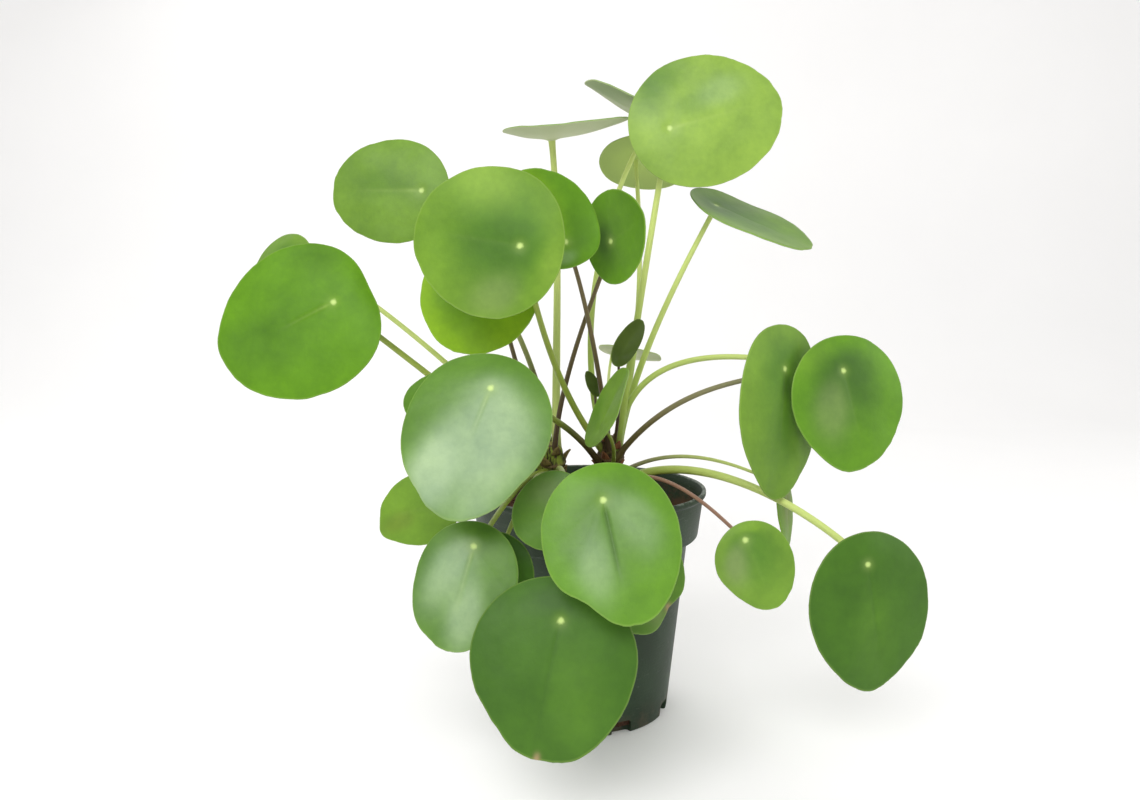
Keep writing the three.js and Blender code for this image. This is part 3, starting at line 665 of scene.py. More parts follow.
def blade_finish(leaf):
    """A blade's skin: middle and edge tints, mottling, blots that are partly painted sheen and shade, veins,
    a painted highlight along the edge, the pale dot and a matt underside.
    """
    settings = bpy.context.scene.plant_leaves
    seed = float(leaf["id"])
    polish = leaf.get("polish", 0.3)
    finish = Finish(f"blade {leaf['id']} skin", specular_ior_level=0.12 + 0.8 * polish,
                    coat_weight=0.35 * polish, coat_roughness=0.35)
    share, reach, side, vein, forward, aside = (
        finish.read(name) for name in ("share", "reach", "side", "vein", "forward", "aside"))
    cloud = finish.noise(38, 3, 0.55, seed)
    grain = finish.noise(520, 2, 0.6, seed)
    outward = ease(share + (cloud - 0.5) * 0.7, 0.25, 0.95)
    skin = finish.mix(outward, tint(leaf["heart"]), tint(leaf["rim"]))
    broad = (finish.noise(60, 3, 0.5, seed + 7) - 0.5) * 0.7
    fine = (finish.noise(240, 3, 0.6, seed + 9) - 0.5) * 0.25
    mottle = broad + fine
    shade = vector(finish.tree, mottle * 1.2 + 1, mottle + 1, mottle * 0.8 + 1)
    # Blots of tint; some of them are painted sheen and painted shade on the upper side.
    for name, degrees, out, spread, strength in leaf.get("patches", ()):
        near = spot(forward, aside, degrees, out, spread)
        skin = finish.mix(ease(near * (cloud + 0.5), 0.0, 1.0) * strength, skin, tint(name))
    skin = finish.mix(1.0, skin, shade, "MULTIPLY")
    ribs = leaf.get("ribs", 0.03)
    # Where ribs is negative, the veins are painted darker as painted shade in the midrib groove.
    skin = finish.mix(vein * abs(ribs), skin, tint("straw" if ribs > 0 else "forest"))
    if ribs > 0.05:
        skin = finish.mix(vein * hump(reach * reach / (6 * MM) ** 2) * 0.35, skin, tint("straw"))
    skin = finish.mix((grain - 0.5) * 0.2 + 0.08, skin, tint("forest"))
    under = finish.mix(outward * 0.3, tint(leaf.get("under", "sheen_and_underside")), tint("sage"))
    under = finish.mix(vein * 0.5, under, tint("straw"))
    skin = finish.mix(ease(side, -0.2, 0.2), under, skin)
    eye = leaf.get("eye", 1)
    halo = hump(reach * reach / (settings.dot_radius * 1.7) ** 2)
    skin = finish.mix(halo * (0.25 * eye), skin, tint("straw"))
    ragged = reach * (finish.noise(700, 2, 0.6, seed) * 0.9 + 0.55)
    dot = 1 - ease(ragged, settings.dot_radius * 0.3, settings.dot_radius * 1.2)
    skin = finish.mix(dot * (0.85 * eye), skin, tint("dot"))
    # A thin pale band along the edge is a painted highlight where the rim catches the light.
    edge = ease(share, 0.985, 1.0)
    skin = finish.mix(edge * 0.15, skin, tint("straw"))
    if "scorch" in leaf:
        degrees, spread = leaf["scorch"]
        scorched = spot(forward, aside, degrees, 1, spread) * ease(share, 0.88, 0.97)
        skin = finish.mix(scorched * (grain * 0.6 + 0.6), skin, earth("scorch"))
    finish.colour(skin)
    finish.roughness(0.5 - 0.16 * polish + (cloud - 0.5) * 0.12 + ease(side, 0.2, -0.2) * 0.15)
    ripples = finish.noise(120, 3, 0.55, seed)
    finish.relief(grain * 0.2 + ripples * (0.4 + 0.8 * polish), 0.3 * MM)
    return finish.material


def stalk_finish(leaf):
    """A stalk's skin, which runs from one tint at the stem to another at the dot, with fine fibres."""
    finish = Finish(f"stalk {leaf['id']} skin", specular_ior_level=0.45, coat_weight=0.1, coat_roughness=0.35)
    along = finish.read("along")
    around = finish.read("around")
    seed = float(leaf["id"])
    fibre_place = vector(finish.tree, around * 9, along * 3, 0.0)
    fibres = finish.noise(3.0, 3, 0.6, seed, fibre_place)
    cloud = finish.noise(120, 2, 0.5, seed)
    way = ease(along + (cloud - 0.5) * 0.2, 0.02, 0.75)
    skin = finish.mix(way, tint(leaf["foot"]), tint(leaf["neck"]))
    skin = finish.mix(ease(fibres, 0.45, 0.75) * 0.15, skin, tint("moss"))
    skin = finish.mix(ease(along, 0.08, 0.0) * 0.4, skin, tint("umber"))
    finish.colour(skin)
    finish.roughness(0.42 + (cloud - 0.5) * 0.15)
    finish.relief(fibres, 0.3 * MM)
    return finish.material


def bark_finish(side):
    """Young bark: grey-brown with fissures along it, and at the crown greenish or, on the right, plum."""
    finish = Finish(f"bark {side}", specular_ior_level=0.25)
    along = finish.read("along")
    ridge = finish.read("ridge")
    fissures = finish.noise(420, 4, 0.65, 2.0, finish.stretched(1, 1, 0.28))
    cloud = finish.noise(160, 3, 0.6, 5.0)
    crown = "moss" if side == "left" else "plum"
    skin = finish.mix(ease(along + (cloud - 0.5) * 0.3, 0.55, 0.95), tint("umber"), tint(crown))
    skin = finish.mix(ease(fissures, 0.42, 0.62), earth("fissure"), skin)
    skin = finish.mix(ease(cloud, 0.55, 0.8) * 0.5, skin, earth("weathered"))
    skin = finish.mix(ridge * 0.45, skin, earth("scar"))
    finish.colour(skin)
    finish.roughness(0.78 + (cloud - 0.5) * 0.2)
    finish.relief(fissures + cloud * 0.5, 0.6 * MM)
    return finish.material


def husk_finish(side):
    """The dry papery scales of one stem, with fine streaks along them."""
    finish = Finish(f"husk {side}", specular_ior_level=0.25)
    dark, light = (screen(*colour) for colour in HUSKS[side])
    cloud = finish.noise(700, 3, 0.6, 3.0)
    streaks = finish.noise(900, 2, 0.5, 4.0, finish.stretched(1, 1, 0.2))
    skin = finish.mix(cloud, dark, light)
    skin = finish.mix(ease(streaks, 0.5, 0.7) * 0.6, skin, earth("streak"))
    finish.colour(skin)
    finish.roughness(0.7 + (cloud - 0.5) * 0.2)
    finish.relief(streaks, 0.3 * MM)
    return finish.material


def soil_finish(name, light, dark):
    """Rough potting mix, or crumbs of it, between two tints."""
    finish = Finish(name, specular_ior_level=0.2)
    cloud = finish.noise(180, 5, 0.7, 1.0)
    grit = finish.noise(1400, 3, 0.7, 2.0)
    skin = finish.mix(ease(cloud, 0.3, 0.7), dark, light)
    skin = finish.mix(ease(grit, 0.55, 0.75) * 0.5, skin, earth("grit"))
    finish.colour(skin)
    finish.roughness(0.92 - grit * 0.12)
    finish.relief(cloud + grit * 0.6, 1.2 * MM)
    return finish.material


def plastic_finish():
    """Matt moulded plastic with faint rings, scuffs, dust low down, soil inside the rim and a pale lip,
    part wear and part painted highlight.
    """
    settings = bpy.context.scene.plant_pot
    plastic, scuff_and_highlight, soil = (tuple(colour) for colour in (settings.plastic, settings.scuff_and_highlight, settings.soil))
    dark = tuple(value * 0.55 for value in plastic)
    finish = Finish("pot plastic", specular_ior_level=0.3)
    x, y, height = axes_of(finish.tree, finish.place)
    cloud = finish.noise(26, 4, 0.6, 1.0)
    grain = finish.noise(1500, 2, 0.6, 2.0)
    scratches = finish.noise(300, 3, 0.7, 3.0, finish.stretched(1, 1, 5))
    scuffs = ease(finish.noise(75, 5, 0.75, 4.0), 0.6, 0.72)
    skin = finish.mix(ease(cloud, 0.3, 0.75), plastic, dark)
    skin = finish.mix(ease(scratches, 0.62, 0.72) * 0.3, skin, scuff_and_highlight)
    skin = finish.mix(scuffs * 0.2, skin, scuff_and_highlight)

    # The stain keeps to the inner wall of the rim band, whose outer radius grows evenly with the height.
    band_foot = (POT["neck_height"] + POT["step"]) * MM
    band = POT["band"] * MM + (height - band_foot) * POT["band_slope"]
    inside = ease(band - root(x * x + y * y), 0.5 * MM, 1.1 * MM)
    inside = inside * ease(height, 83 * MM, 85 * MM) * ease(height, 98 * MM, 90 * MM)
    stain = inside * ease(finish.noise(160, 4, 0.7, 8.0), 0.35, 0.6)
    skin = finish.mix(stain * 0.8, skin, soil)

    # The pale lip is wear and also a painted highlight on the lip's top.
    lip = ease(height, 100.2 * MM, 100.9 * MM) * ease(finish.noise(300, 3, 0.7, 9.0), 0.4, 0.6)
    skin = finish.mix(lip * 0.6, skin, scuff_and_highlight)
    dust = ease(height, 14 * MM, 0.0) * ease(finish.noise(120, 4, 0.7, 6.0), 0.4, 0.7)
    skin = finish.mix(dust * 0.5, skin, earth("dust"))
    finish.colour(skin)
    finish.roughness(0.5 + (cloud - 0.5) * 0.16 + scuffs * 0.15)
    rings = sine(height * 4200)
    finish.relief(rings * 0.02 + grain * 0.35 + scratches * 0.3, 0.3 * MM)
    return finish.material


# ------------------------------------------------------------------ shapes that the solids share


def blade_axes(leaf):
    """The blade's own axes: out along the tip, across it, and up from the upper side."""
    turn, lift, roll = (math.radians(angle) for angle in leaf["face"])
    up = Vector((math.sin(turn) * math.cos(lift), -math.cos(turn) * math.cos(lift), math.sin(lift)))
    down = (Vector((0, 0, -1)) + up * up.z).normalized()
    side = up.cross(down)
    tip = down * math.cos(roll) + side * math.sin(roll)
    return tip, up.cross(tip), up


def stem_points(side):
    """A stem's foot, the handle of its curve straight above it, and its top."""
    foot = Vector(STEMS[side]["foot"])
    top = Vector(STEMS[side]["top"])
    knee = Vector((foot.x, foot.y, foot.z + (top.z - foot.z) * STEM["knee"]))
    return foot, knee, top


def stem_axis(side, share):
    """The point of a stem's centre line at a share of its length."""
    foot, knee, top = stem_points(side)
    count = STEM["axis_steps"]
    steps = [k / count for k in range(count + 1)]
    line = [foot * (1 - t) ** 2 + knee * 2 * t * (1 - t) + top * t ** 2 for t in steps]
    lengths = [0.0]
    for k in range(count):
        lengths.append(lengths[-1] + (line[k + 1] - line[k]).length)
    goal = min(share, 1) * lengths[-1]
    at = max(k for k in range(count + 1) if lengths[k] <= goal)
    if at == count:
        return line[-1]
    return line[at].lerp(line[at + 1], (goal - lengths[at]) / (lengths[at + 1] - lengths[at]))


def stem_radius(share):
    """The solid stem's radius: it bulges between its leaf scars and narrows at its dome."""
    grown = STEM["base_radius"] + (STEM["crown_radius"] - STEM["base_radius"]) * share
    scar = STEM["scar_depth"] * math.cos(2 * math.pi * STEM["scars"] * share)
    rise = min(max((share - STEM["dome_start"]) / (1 - STEM["dome_start"]), 0), 1)
    dome = rise * rise * (3 - 2 * rise)
    return (grown - STEM["scar_depth"] + scar) * (1 + (STEM["dome_share"] - 1) * dome)


def slant(direction, axis):
    """How far a direction leans from an axis, from 0 along it to 1 across it."""
    return math.sqrt(max(0, 1 - direction.dot(axis) ** 2))


def stalk_points(leaf):
    """The four points of a stalk's curve. Its ends run on into the stem's bark and the blade."""
    up = blade_axes(leaf)[2]
    dot = Vector(leaf["dot"])
    via = Vector(leaf["via"])
    around, height = leaf["root"]
    foot, _, top = stem_points(leaf["stem"])
    share = (height - foot.z) / (top.z - foot.z)
    axis = stem_axis(leaf["stem"], share)
    outward = Vector((math.cos(math.radians(around)), math.sin(math.radians(around)), 0))
    start = Vector((axis.x, axis.y, height)) + outward * (stem_radius(min(share, 1)) + GAP)
    heading = (via - start).normalized()
    start += outward * leaf["stalk"] * slant(heading, outward)
    back = Vector(leaf["back"]) if "back" in leaf else dot - up * leaf["tail"]
    sunk = start - outward * (leaf["stalk"] + STALK["foot_in"])
    sunk -= Vector((0, 0, leaf["stalk"] + STALK["foot_down"]))
    arrival = (dot - back).normalized()
    tip_radius = leaf["stalk"] * (STALK["tip_share"] + STALK["tip_swelling"])
    end = dot - up * (BLADE["thickness"] * STALK["tip_depth"] + tip_radius * slant(arrival, up))
    return [point * MM for point in (sunk, via, back, end)]


# ------------------------------------------------------------------ leaves

# Grooves of the upper side: degrees from the tip, and share of the midrib's depth.
VEINS = ((0, 1.0), (38, 0.08), (-38, 0.08), (80, 0.05), (-80, 0.05))
# The veins bend back towards the tip by this share of their angle.
VEIN_BEND = 0.22
# Sine waves of a blade's outline: count round it, times the leaf's phase, and strength.
OUTLINE_WAVES = ((2, 1, 0.6), (3, 2.1, 0.5), (5, 1.7, 0.35), (9, 3.3, 0.12), (17, 5.1, 0.08))
# Small forms of a blade, in metres: a vein's groove, the hollow over the stalk, the boss under it, the
# swell of the whole blade, and how softly its fold starts.
GROOVE_RADIUS = 0.9 * MM
HOLLOW_RADIUS = 2.6 * MM
HOLLOW_DEPTH = 0.5 * MM
BOSS_RADIUS = 2.2 * MM
BOSS_HEIGHT = 0.35 * MM
SWELL = 1.4 * MM
FOLD_SOFTNESS = 1.5 * MM
# The round edge takes up this share of the grid, on each of the blade's two sides.
RIM_SHARE = 0.07
BUMP_NAMES = ("First Bump", "Second Bump", "Third Bump")
FLAT_BUMP = (0, 0, 30)


def bump_values(bumps):
    """The blade tree's inputs for a leaf's bumps, with flat ones after the last."""
    values = {}
    for name, (place, push, width) in zip(BUMP_NAMES, (*bumps, *[FLAT_BUMP] * len(BUMP_NAMES))):
        values[f"{name} Turn"] = math.radians(place)
        values[f"{name} Push"] = float(push)
        values[f"{name} Width"] = math.radians(width)
    return values


def blade_tree():
    """A closed blade: its two faces and its round edge are one grid, wrapped round the dot."""
    tree, give = new_tree("leaf blade", {
        "Length": 0.05, "Width": 0.05, "Base": 0.25, "Cup": 0.0, "Fold": 0.0, "Egg": 0.08,
        "Thickness": 0.001, "Edge Thickness": 0.0006, "Outline Wave": 0.01, "Ruffle": 0.0003,
        "Vein Depth": 0.0003, "Vein Reach": 0.65, "Edge Nicks": 0.05, **bump_values(()),
        "Phase": 0.0, "Turns": 112, "Rings": 60, "Skin": "material"})
    grid = add_node(tree, "GeometryNodeMeshGrid", {
        "Size X": 1.0, "Size Y": 1.0, "Vertices X": give["Turns"] + 1, "Vertices Y": give["Rings"] + 1})
    column, row, _ = axes_of(tree, position(tree))
    turn = (column + 0.5) * (2 * math.pi)
    way = row * 2
    phase = give["Phase"]

    share = ((1 - way.math("ABSOLUTE")) / (1 - RIM_SHARE)).math("MINIMUM", 1.0)
    over_edge = (way / RIM_SHARE).math("MAXIMUM", -1.0).math("MINIMUM", 1.0) * (math.pi / 2)
    thin = give["Edge Thickness"] - give["Thickness"]
    half = (give["Thickness"] + thin * share ** 2.0) * 0.5

    waves = [sine(turn * count + phase * shift) * strength for count, shift, strength in OUTLINE_WAVES]
    wave = sum(waves[1:], waves[0])
    nicks = speckle(tree, vector(tree, cosine(turn), sine(turn), 0.0), 2.6, 4.0, 0.65, phase) - 0.5
    push = give["Outline Wave"] * wave + give["Edge Nicks"] * nicks
    for bump in BUMP_NAMES:
        apart = 1 - cosine(turn - give[f"{bump} Turn"])
        push = push + give[f"{bump} Push"] * hump(apart * 2 / give[f"{bump} Width"] ** 2.0)
    stretch = (push * share ** 2.0 + 1) * share
    along = give["Length"] * (cosine(turn) * 0.5 + 0.5 - give["Base"])
    aside = give["Width"] * 0.5 * sine(turn) * (1 - give["Egg"] * cosine(turn))
    outline = root(along * along + aside * aside)
    lip = cosine(over_edge) * half / outline
    x = along * (stretch + lip)
    y = aside * (stretch + lip)

    reach = root(x * x + y * y)
    bearing = y.math("ARCTAN2", x)
    grooves = None
    for degrees, strength in VEINS:
        lean = share * (-VEIN_BEND * math.radians(degrees)) + math.radians(degrees)
        off = (1 - cosine(bearing - lean)) * 2 * reach * reach / GROOVE_RADIUS ** 2
        fade = ease(share, give["Vein Reach"] * 0.7, give["Vein Reach"] * 1.3, strength, 0.0)
        groove = hump(off) * fade
        grooves = groove if grooves is None else grooves + groove
    grooves = grooves * ease(reach, 0.6 * MM, 4.5 * MM)

    beside = (root(y * y + FOLD_SOFTNESS ** 2) - FOLD_SOFTNESS) / (give["Width"] * 0.5)
    rise = give["Cup"] * share ** 2.0 + give["Fold"] * beside * cosine(turn).math("MAXIMUM", 0.0)
    ruffle = sine(turn * 3 + phase) + sine(turn * 5 + phase * 2.3) * 0.6
    rise = rise + give["Ruffle"] * share ** 3.0 * ruffle
    flat = vector(tree, x, y, 0.0)
    rise = rise + (speckle(tree, flat, 55.0, 2.0, 0.5, phase) - 0.5) * share * SWELL
    rise = rise - give["Vein Depth"] * grooves - hump(reach * reach / HOLLOW_RADIUS ** 2) * HOLLOW_DEPTH
    boss = hump(reach * reach / BOSS_RADIUS ** 2) * (sine(over_edge) + 1) * BOSS_HEIGHT
    z = rise - half * (sine(over_edge) + 1) - boss

    geometry = grid.outputs[0]
    kept = {"share": share, "reach": reach, "vein": grooves, "side": -sine(over_edge),
            "forward": share * cosine(turn), "aside": share * sine(turn)}
    for name, value in kept.items():
        geometry = keep_value(tree, geometry, name, value)
    shaped = moved_to(tree, geometry, Position=vector(tree, x, y, z))
    closed = add_node(tree, "GeometryNodeMergeByDistance", {"Geometry": shaped, "Distance": 2e-6})
    turned = add_node(tree, "GeometryNodeFlipFaces", {"Mesh": closed.outputs[0]})
    end_tree(tree, turned.outputs[0], give["Skin"])
    return tree


def stalk_tree():
    """A tapering stalk along a Bezier curve, swollen where it leaves the stem and under the dot."""
    tree, give = new_tree("leaf stalk", {
        "Start": (0.0, 0.0, 0.0), "Start Handle": (0.0, 0.0, 0.01), "End Handle": (0.0, 0.0, 0.02),
        "End": (0.0, 0.0, 0.03), "Root Radius": 0.0015, "Tip Share": 0.68, "Root Swelling": 0.45,
        "Tip Swelling": 0.2, "Steps": 72, "Sides": 14, "Skin": "material"})
    line = add_node(tree, "GeometryNodeCurvePrimitiveBezierSegment", {
        "Resolution": give["Steps"], "Start": give["Start"], "Start Handle": give["Start Handle"],
        "End Handle": give["End Handle"], "End": give["End"]}, mode="POSITION")
    even = add_node(tree, "GeometryNodeResampleCurve", {"Curve": line.outputs[0], "Count": give["Steps"]})
    along = way_along(tree)
    curve = keep_value(tree, even.outputs[0], "along", along)
    ring = add_node(tree, "GeometryNodeCurvePrimitiveCircle", {"Resolution": give["Sides"], "Radius": 1.0})
    folded = (way_along(tree) * 2 - 1).math("ABSOLUTE")
    ring = keep_value(tree, ring.outputs[0], "around", folded)
    taper = 1 - along * (1 - give["Tip Share"])
    swelling = give["Root Swelling"] * hump(along * 22) + give["Tip Swelling"] * hump((1 - along) * 40)
    radius = give["Root Radius"] * (taper + swelling)
    tube = add_node(tree, "GeometryNodeCurveToMesh", {
        "Curve": curve, "Profile Curve": ring, "Scale": radius, "Fill Caps": True})
    end_tree(tree, tube.outputs[0], give["Skin"])
    return tree


def grow_blade(name, tree, leaf, skin):
    """A blade at its place on the plant."""
    settings = bpy.context.scene.plant_leaves
    length, width = leaf["size"]
    blade = grow(name, tree, {
        "Length": length * MM, "Width": width * MM, "Base": leaf["base"], "Cup": leaf["cup"] * MM,
        "Fold": leaf["fold"] * MM, "Egg": BLADE["egg"], "Thickness": BLADE["thickness"] * MM,
        "Edge Thickness": settings.edge_thickness,
        "Outline Wave": settings.outline_wave,
        "Edge Nicks": settings.edge_nicks,
        "Vein Reach": leaf.get("furrow", 0.65),
        "Ruffle": settings.ruffle * length / 60,
        "Vein Depth": leaf["crease"] * MM if "crease" in leaf else settings.vein_depth,
        **bump_values(leaf.get("bumps", ())),
        "Phase": float(leaf["id"]), "Turns": settings.turns, "Rings": settings.rings, "Skin": skin})
    tip, across, up = blade_axes(leaf)
    dot = Vector(leaf["dot"]) * MM
    turn = Matrix((tip, across, up)).transposed().to_4x4()
    blade.data.transform(Matrix.Translation(dot) @ turn)
    blade.data.update()
    return blade


def grow_stalk(name, tree, leaf, skin):
    """A stalk from its stem to the underside of its blade."""
    start, via, back, end = stalk_points(leaf)
    return grow(name, tree, {
        "Start": tuple(start), "Start Handle": tuple(via), "End Handle": tuple(back), "End": tuple(end),
        "Root Radius": leaf["stalk"] * leaf.get("slim", 1) * MM, "Tip Share": STALK["tip_share"],
        "Tip Swelling": STALK["tip_swelling"], "Skin": skin})


def join(name, first, second):
    """Two pieces as one, each with its own finish."""
    first.name = name
    offset = len(first.data.materials)
    mesh = bmesh.new()
    mesh.from_mesh(first.data)
    old = len(mesh.faces)
    mesh.from_mesh(second.data)
    mesh.faces.ensure_lookup_table()
    for face in mesh.faces[old:]:
        face.material_index = offset
    mesh.to_mesh(first.data)
    mesh.free()
    first.data.materials.append(second.data.materials[0])
    bpy.data.objects.remove(second)
    return first


def grow_leaf(leaf, blades, stalks):
    """A leaf's blade and stalk, from their two trees."""
    blade = grow_blade(f"blade_{leaf['id']}", blades, leaf, blade_finish(leaf))
    stalk = grow_stalk(f"stalk_{leaf['id']}", stalks, leaf, stalk_finish(leaf))
    return blade, stalk


class PLANT_OT_leaves(bpy.types.Operator):
    """Grow the blades and stalks that are separate pieces"""
    bl_idname = "plant.leaves"
    bl_label = "Leaves"

    def execute(self, context):
        blades, stalks = blade_tree(), stalk_tree()
        for leaf in LEAVES:
            if len(leaf["slots"]) < 2:
                continue
            pieces = grow_leaf(leaf, blades, stalks)
            for piece, slot, part in zip(pieces, leaf["slots"], ("blade", "stalk")):
                settle(piece, slot, f"leaf_{leaf['id']}_{part}")
        return {"FINISHED"}


class PLANT_OT_small_leaves(bpy.types.Operator):
    """Grow the small leaves, each with its stalk in one piece"""
    bl_idname = "plant.small_leaves"
    bl_label = "Small leaves"

    def execute(self, context):
        blades, stalks = blade_tree(), stalk_tree()
        for leaf in LEAVES:
            if len(leaf["slots"]) > 1:
                continue
            whole = join(f"small_leaf_{leaf['id']}", *grow_leaf(leaf, blades, stalks))
            settle(whole, leaf["slots"][0], f"leaf_{leaf['id']}")
        return {"FINISHED"}


# ------------------------------------------------------------------ stems


def stem_tree():
    """A short woody stem along a curve, with a ring at each leaf scar and a rounded crown."""
    tree, give = new_tree("woody stem", {
        "Foot": (0.0, 0.0, 0.0), "Knee": (0.0, 0.0, 0.03), "Top": (0.0, 0.0, 0.06), "Base Radius": 0.0056,
        "Crown Radius": 0.006, "Scars": 6, "Scar Depth": 0.0004, "Bark Relief": 0.0008, "Seed": 1.0,
        "Steps": 150, "Sides": 56, "Skin": "material"})
    line = add_node(tree, "GeometryNodeCurveQuadraticBezier", {
        "Resolution": give["Steps"], "Start": give["Foot"], "Middle": give["Knee"], "End": give["Top"]})
    even = add_node(tree, "GeometryNodeResampleCurve", {"Curve": line.outputs[0], "Count": give["Steps"]})
    along = way_along(tree)
    wave = cosine(along * give["Scars"] * (2 * math.pi))
    ridge = ease(wave, 0.8, 1.0)
    curve = keep_value(tree, even.outputs[0], "along", along)
    curve = keep_value(tree, curve, "ridge", ridge)
    ring = add_node(tree, "GeometryNodeCurvePrimitiveCircle", {"Resolution": give["Sides"], "Radius": 1.0})
    grown = give["Base Radius"] + (give["Crown Radius"] - give["Base Radius"]) * along
    over = ((along - 0.9) / 0.1).math("MAXIMUM", 0.0)
    dome = root((1.0001 - over * over).math("MAXIMUM", 0.0)) * 0.97 + 0.03
    radius = (grown - give["Scar Depth"] * (1 - wave) + ridge * (0.35 * MM)) * dome
    tube = add_node(tree, "GeometryNodeCurveToMesh", {
        "Curve": curve, "Profile Curve": ring.outputs[0], "Scale": radius, "Fill Caps": True})
    place = position(tree)
    along_stem = {0: place, 1: (1.0, 1.0, 0.35)}
    squeezed = add_node(tree, "ShaderNodeVectorMath", along_stem, operation="MULTIPLY")
    bark = speckle(tree, squeezed.outputs[0], 520.0, 3.0, 0.6, give["Seed"]) - 0.5
    lumps = speckle(tree, place, 150.0, 2.0, 0.5, give["Seed"] + 3) - 0.5
    normal = add_node(tree, "GeometryNodeInputNormal")
    push = add_node(tree, "ShaderNodeVectorMath", {0: normal.outputs[0]}, operation="SCALE")
    feed(tree, push.inputs["Scale"], give["Bark Relief"] * (bark + lumps * 1.5))
    rough = moved_to(tree, tube.outputs[0], Offset=push.outputs[0])
    end_tree(tree, rough, give["Skin"])
    return tree


def scale_mesh():
    """One dry scale, a little pointed and cupped towards the stem. It stands on its foot and faces +X."""
    mesh = bmesh.new()
    rows, columns = 5, 5
    grid = []
    for row in range(rows):
        rise = row / (rows - 1)
        line = []
        for column in range(columns):
            over = column / (columns - 1) * 2 - 1
            width = SCALE["half_width"] * (1 - rise ** 1.7) + SCALE["half_tip"]
            bow = SCALE["bow"] * (1 - over ** 2) * (1 - rise * 0.4) + SCALE["lean"] * rise ** 2
            line.append(mesh.verts.new((bow * MM, over * width * MM, rise * SCALE["height"] * MM)))
        grid.append(line)
    for row in range(rows - 1):
        for column in range(columns - 1):
            mesh.faces.new((grid[row][column], grid[row][column + 1],
                            grid[row + 1][column + 1], grid[row + 1][column]))
    bmesh.ops.recalc_face_normals(mesh, faces=mesh.faces)
    bmesh.ops.solidify(mesh, geom=mesh.faces[:], thickness=SCALE["thickness"] * MM)
    bmesh.ops.recalc_face_normals(mesh, faces=mesh.faces)
    return mesh_from("dry scale", mesh)


def scales_tree():
    """Dry scales round a stem, each a set turn further than the one below."""
    tree, give = new_tree("stem scales", {
        "Start": (0.0, 0.0, 0.0), "End": (0.0, 0.0, 0.02), "Count": 9, "Turn": 2.4, "Radius": 0.006,
        "Lean": 0.2, "Seed": 1, "Scale Shape": "object", "Skin": "material"})
    line = add_node(tree, "GeometryNodeCurvePrimitiveLine", {"Start": give["Start"], "End": give["End"]})
    points = add_node(tree, "GeometryNodeCurveToPoints", {"Curve": line.outputs[0], "Count": give["Count"]})
    number = Field(tree, add_node(tree, "GeometryNodeInputIndex").outputs[0])
    angle = number * give["Turn"]
    outward = vector(tree, cosine(angle) * give["Radius"], sine(angle) * give["Radius"], 0.0)
    moved = moved_to(tree, points.outputs[0], Offset=outward)
    size = chance(tree, 0.6, 1.15, give["Seed"])
    turned = add_node(tree, "FunctionNodeEulerToRotation", {
        "Euler": vector(tree, (size - 0.9) * 0.9, give["Lean"] * (size + 0.4), angle)})
    shape = add_node(tree, "GeometryNodeObjectInfo", {"Object": give["Scale Shape"]})
    copies = add_node(tree, "GeometryNodeInstanceOnPoints", {
        "Points": moved, "Instance": shape.outputs["Geometry"], "Rotation": turned.outputs[0],
        "Scale": vector(tree, size, size, size)})
    end_tree(tree, copies.outputs[0], give["Skin"])
    return tree


class PLANT_OT_stems(bpy.types.Operator):
    """Grow the two woody stems and their dry scales"""
    bl_idname = "plant.stems"
    bl_label = "Stems"

    def execute(self, context):
        tree, scales = stem_tree(), scales_tree()
        shape = piece_from("dry_scale", scale_mesh())
        for number, side in enumerate(STEMS):
            foot, knee, top = (tuple(point * MM) for point in stem_points(side))
            stem = grow(f"stem_{side}_bark", tree, {
                "Foot": foot, "Knee": knee, "Top": top, "Base Radius": STEM["base_radius"] * MM,
                "Crown Radius": STEM["crown_radius"] * MM, "Scars": STEM["scars"],
                "Seed": 4.0 + number, "Skin": bark_finish(side)})
            settle(stem, "bark", f"stem_{side}")
            low, high = (stem_axis(side, share) * MM for share in SCALES["between"])
            dry = grow(f"stem_{side}_scales", scales, {
                "Start": tuple(low), "End": tuple(high), "Count": SCALES["count"], "Turn": SCALES["turn"],
                "Radius": SCALES["radius"] * MM, "Lean": SCALES["lean"], "Seed": 3 + number,
                "Scale Shape": shape, "Skin": husk_finish(side)})
            settle(dry, "bark")
        bpy.data.objects.remove(shape)
        return {"FINISHED"}


# ------------------------------------------------------------------ pot and soil


def fillet(points, count=5):
    """A profile with round corners between its ends. Each point is (radius, height, rounding)."""
    line = [Vector(points[0][:2])]
    for before, here, after in zip(points, points[1:], points[2:]):
        corner, rounding = Vector(here[:2]), here[2]
        back, on = Vector(before[:2]) - corner, Vector(after[:2]) - corner
        reach = min(rounding, back.length * 0.45, on.length * 0.45)
        first, last = corner + back.normalized() * reach, corner + on.normalized() * reach
        for k in range(count + 1):
            t = k / count
            line.append(first * (1 - t) ** 2 + corner * 2 * t * (1 - t) + last * t ** 2)
    line.append(Vector(points[-1][:2]))
    return line


def close_rings(mesh, first, rings, last):
    """Faces from one middle point, over rings of points, to another, all facing outwards."""
    sides = len(rings[0])
    for k in range(sides):
        after = (k + 1) % sides
        mesh.faces.new((first, rings[0][after], rings[0][k]))
        mesh.faces.new((last, rings[-1][k], rings[-1][after]))
        for low, high in zip(rings, rings[1:]):
            mesh.faces.new((low[k], low[after], high[after], high[k]))
    bmesh.ops.recalc_face_normals(mesh, faces=mesh.faces)


def lathe(profile, sides):
    """A closed turned mesh from a profile that starts and ends on the axis."""
    mesh = bmesh.new()
    first = mesh.verts.new((0, 0, profile[0].y))
    last = mesh.verts.new((0, 0, profile[-1].y))
    rings = []
    for point in profile[1:-1]:
        ring = []
        for k in range(sides):
            turn = 2 * math.pi * k / sides
            ring.append(mesh.verts.new((point.x * math.cos(turn), point.x * math.sin(turn), point.y)))
        rings.append(ring)
    close_rings(mesh, first, rings, last)
    return mesh


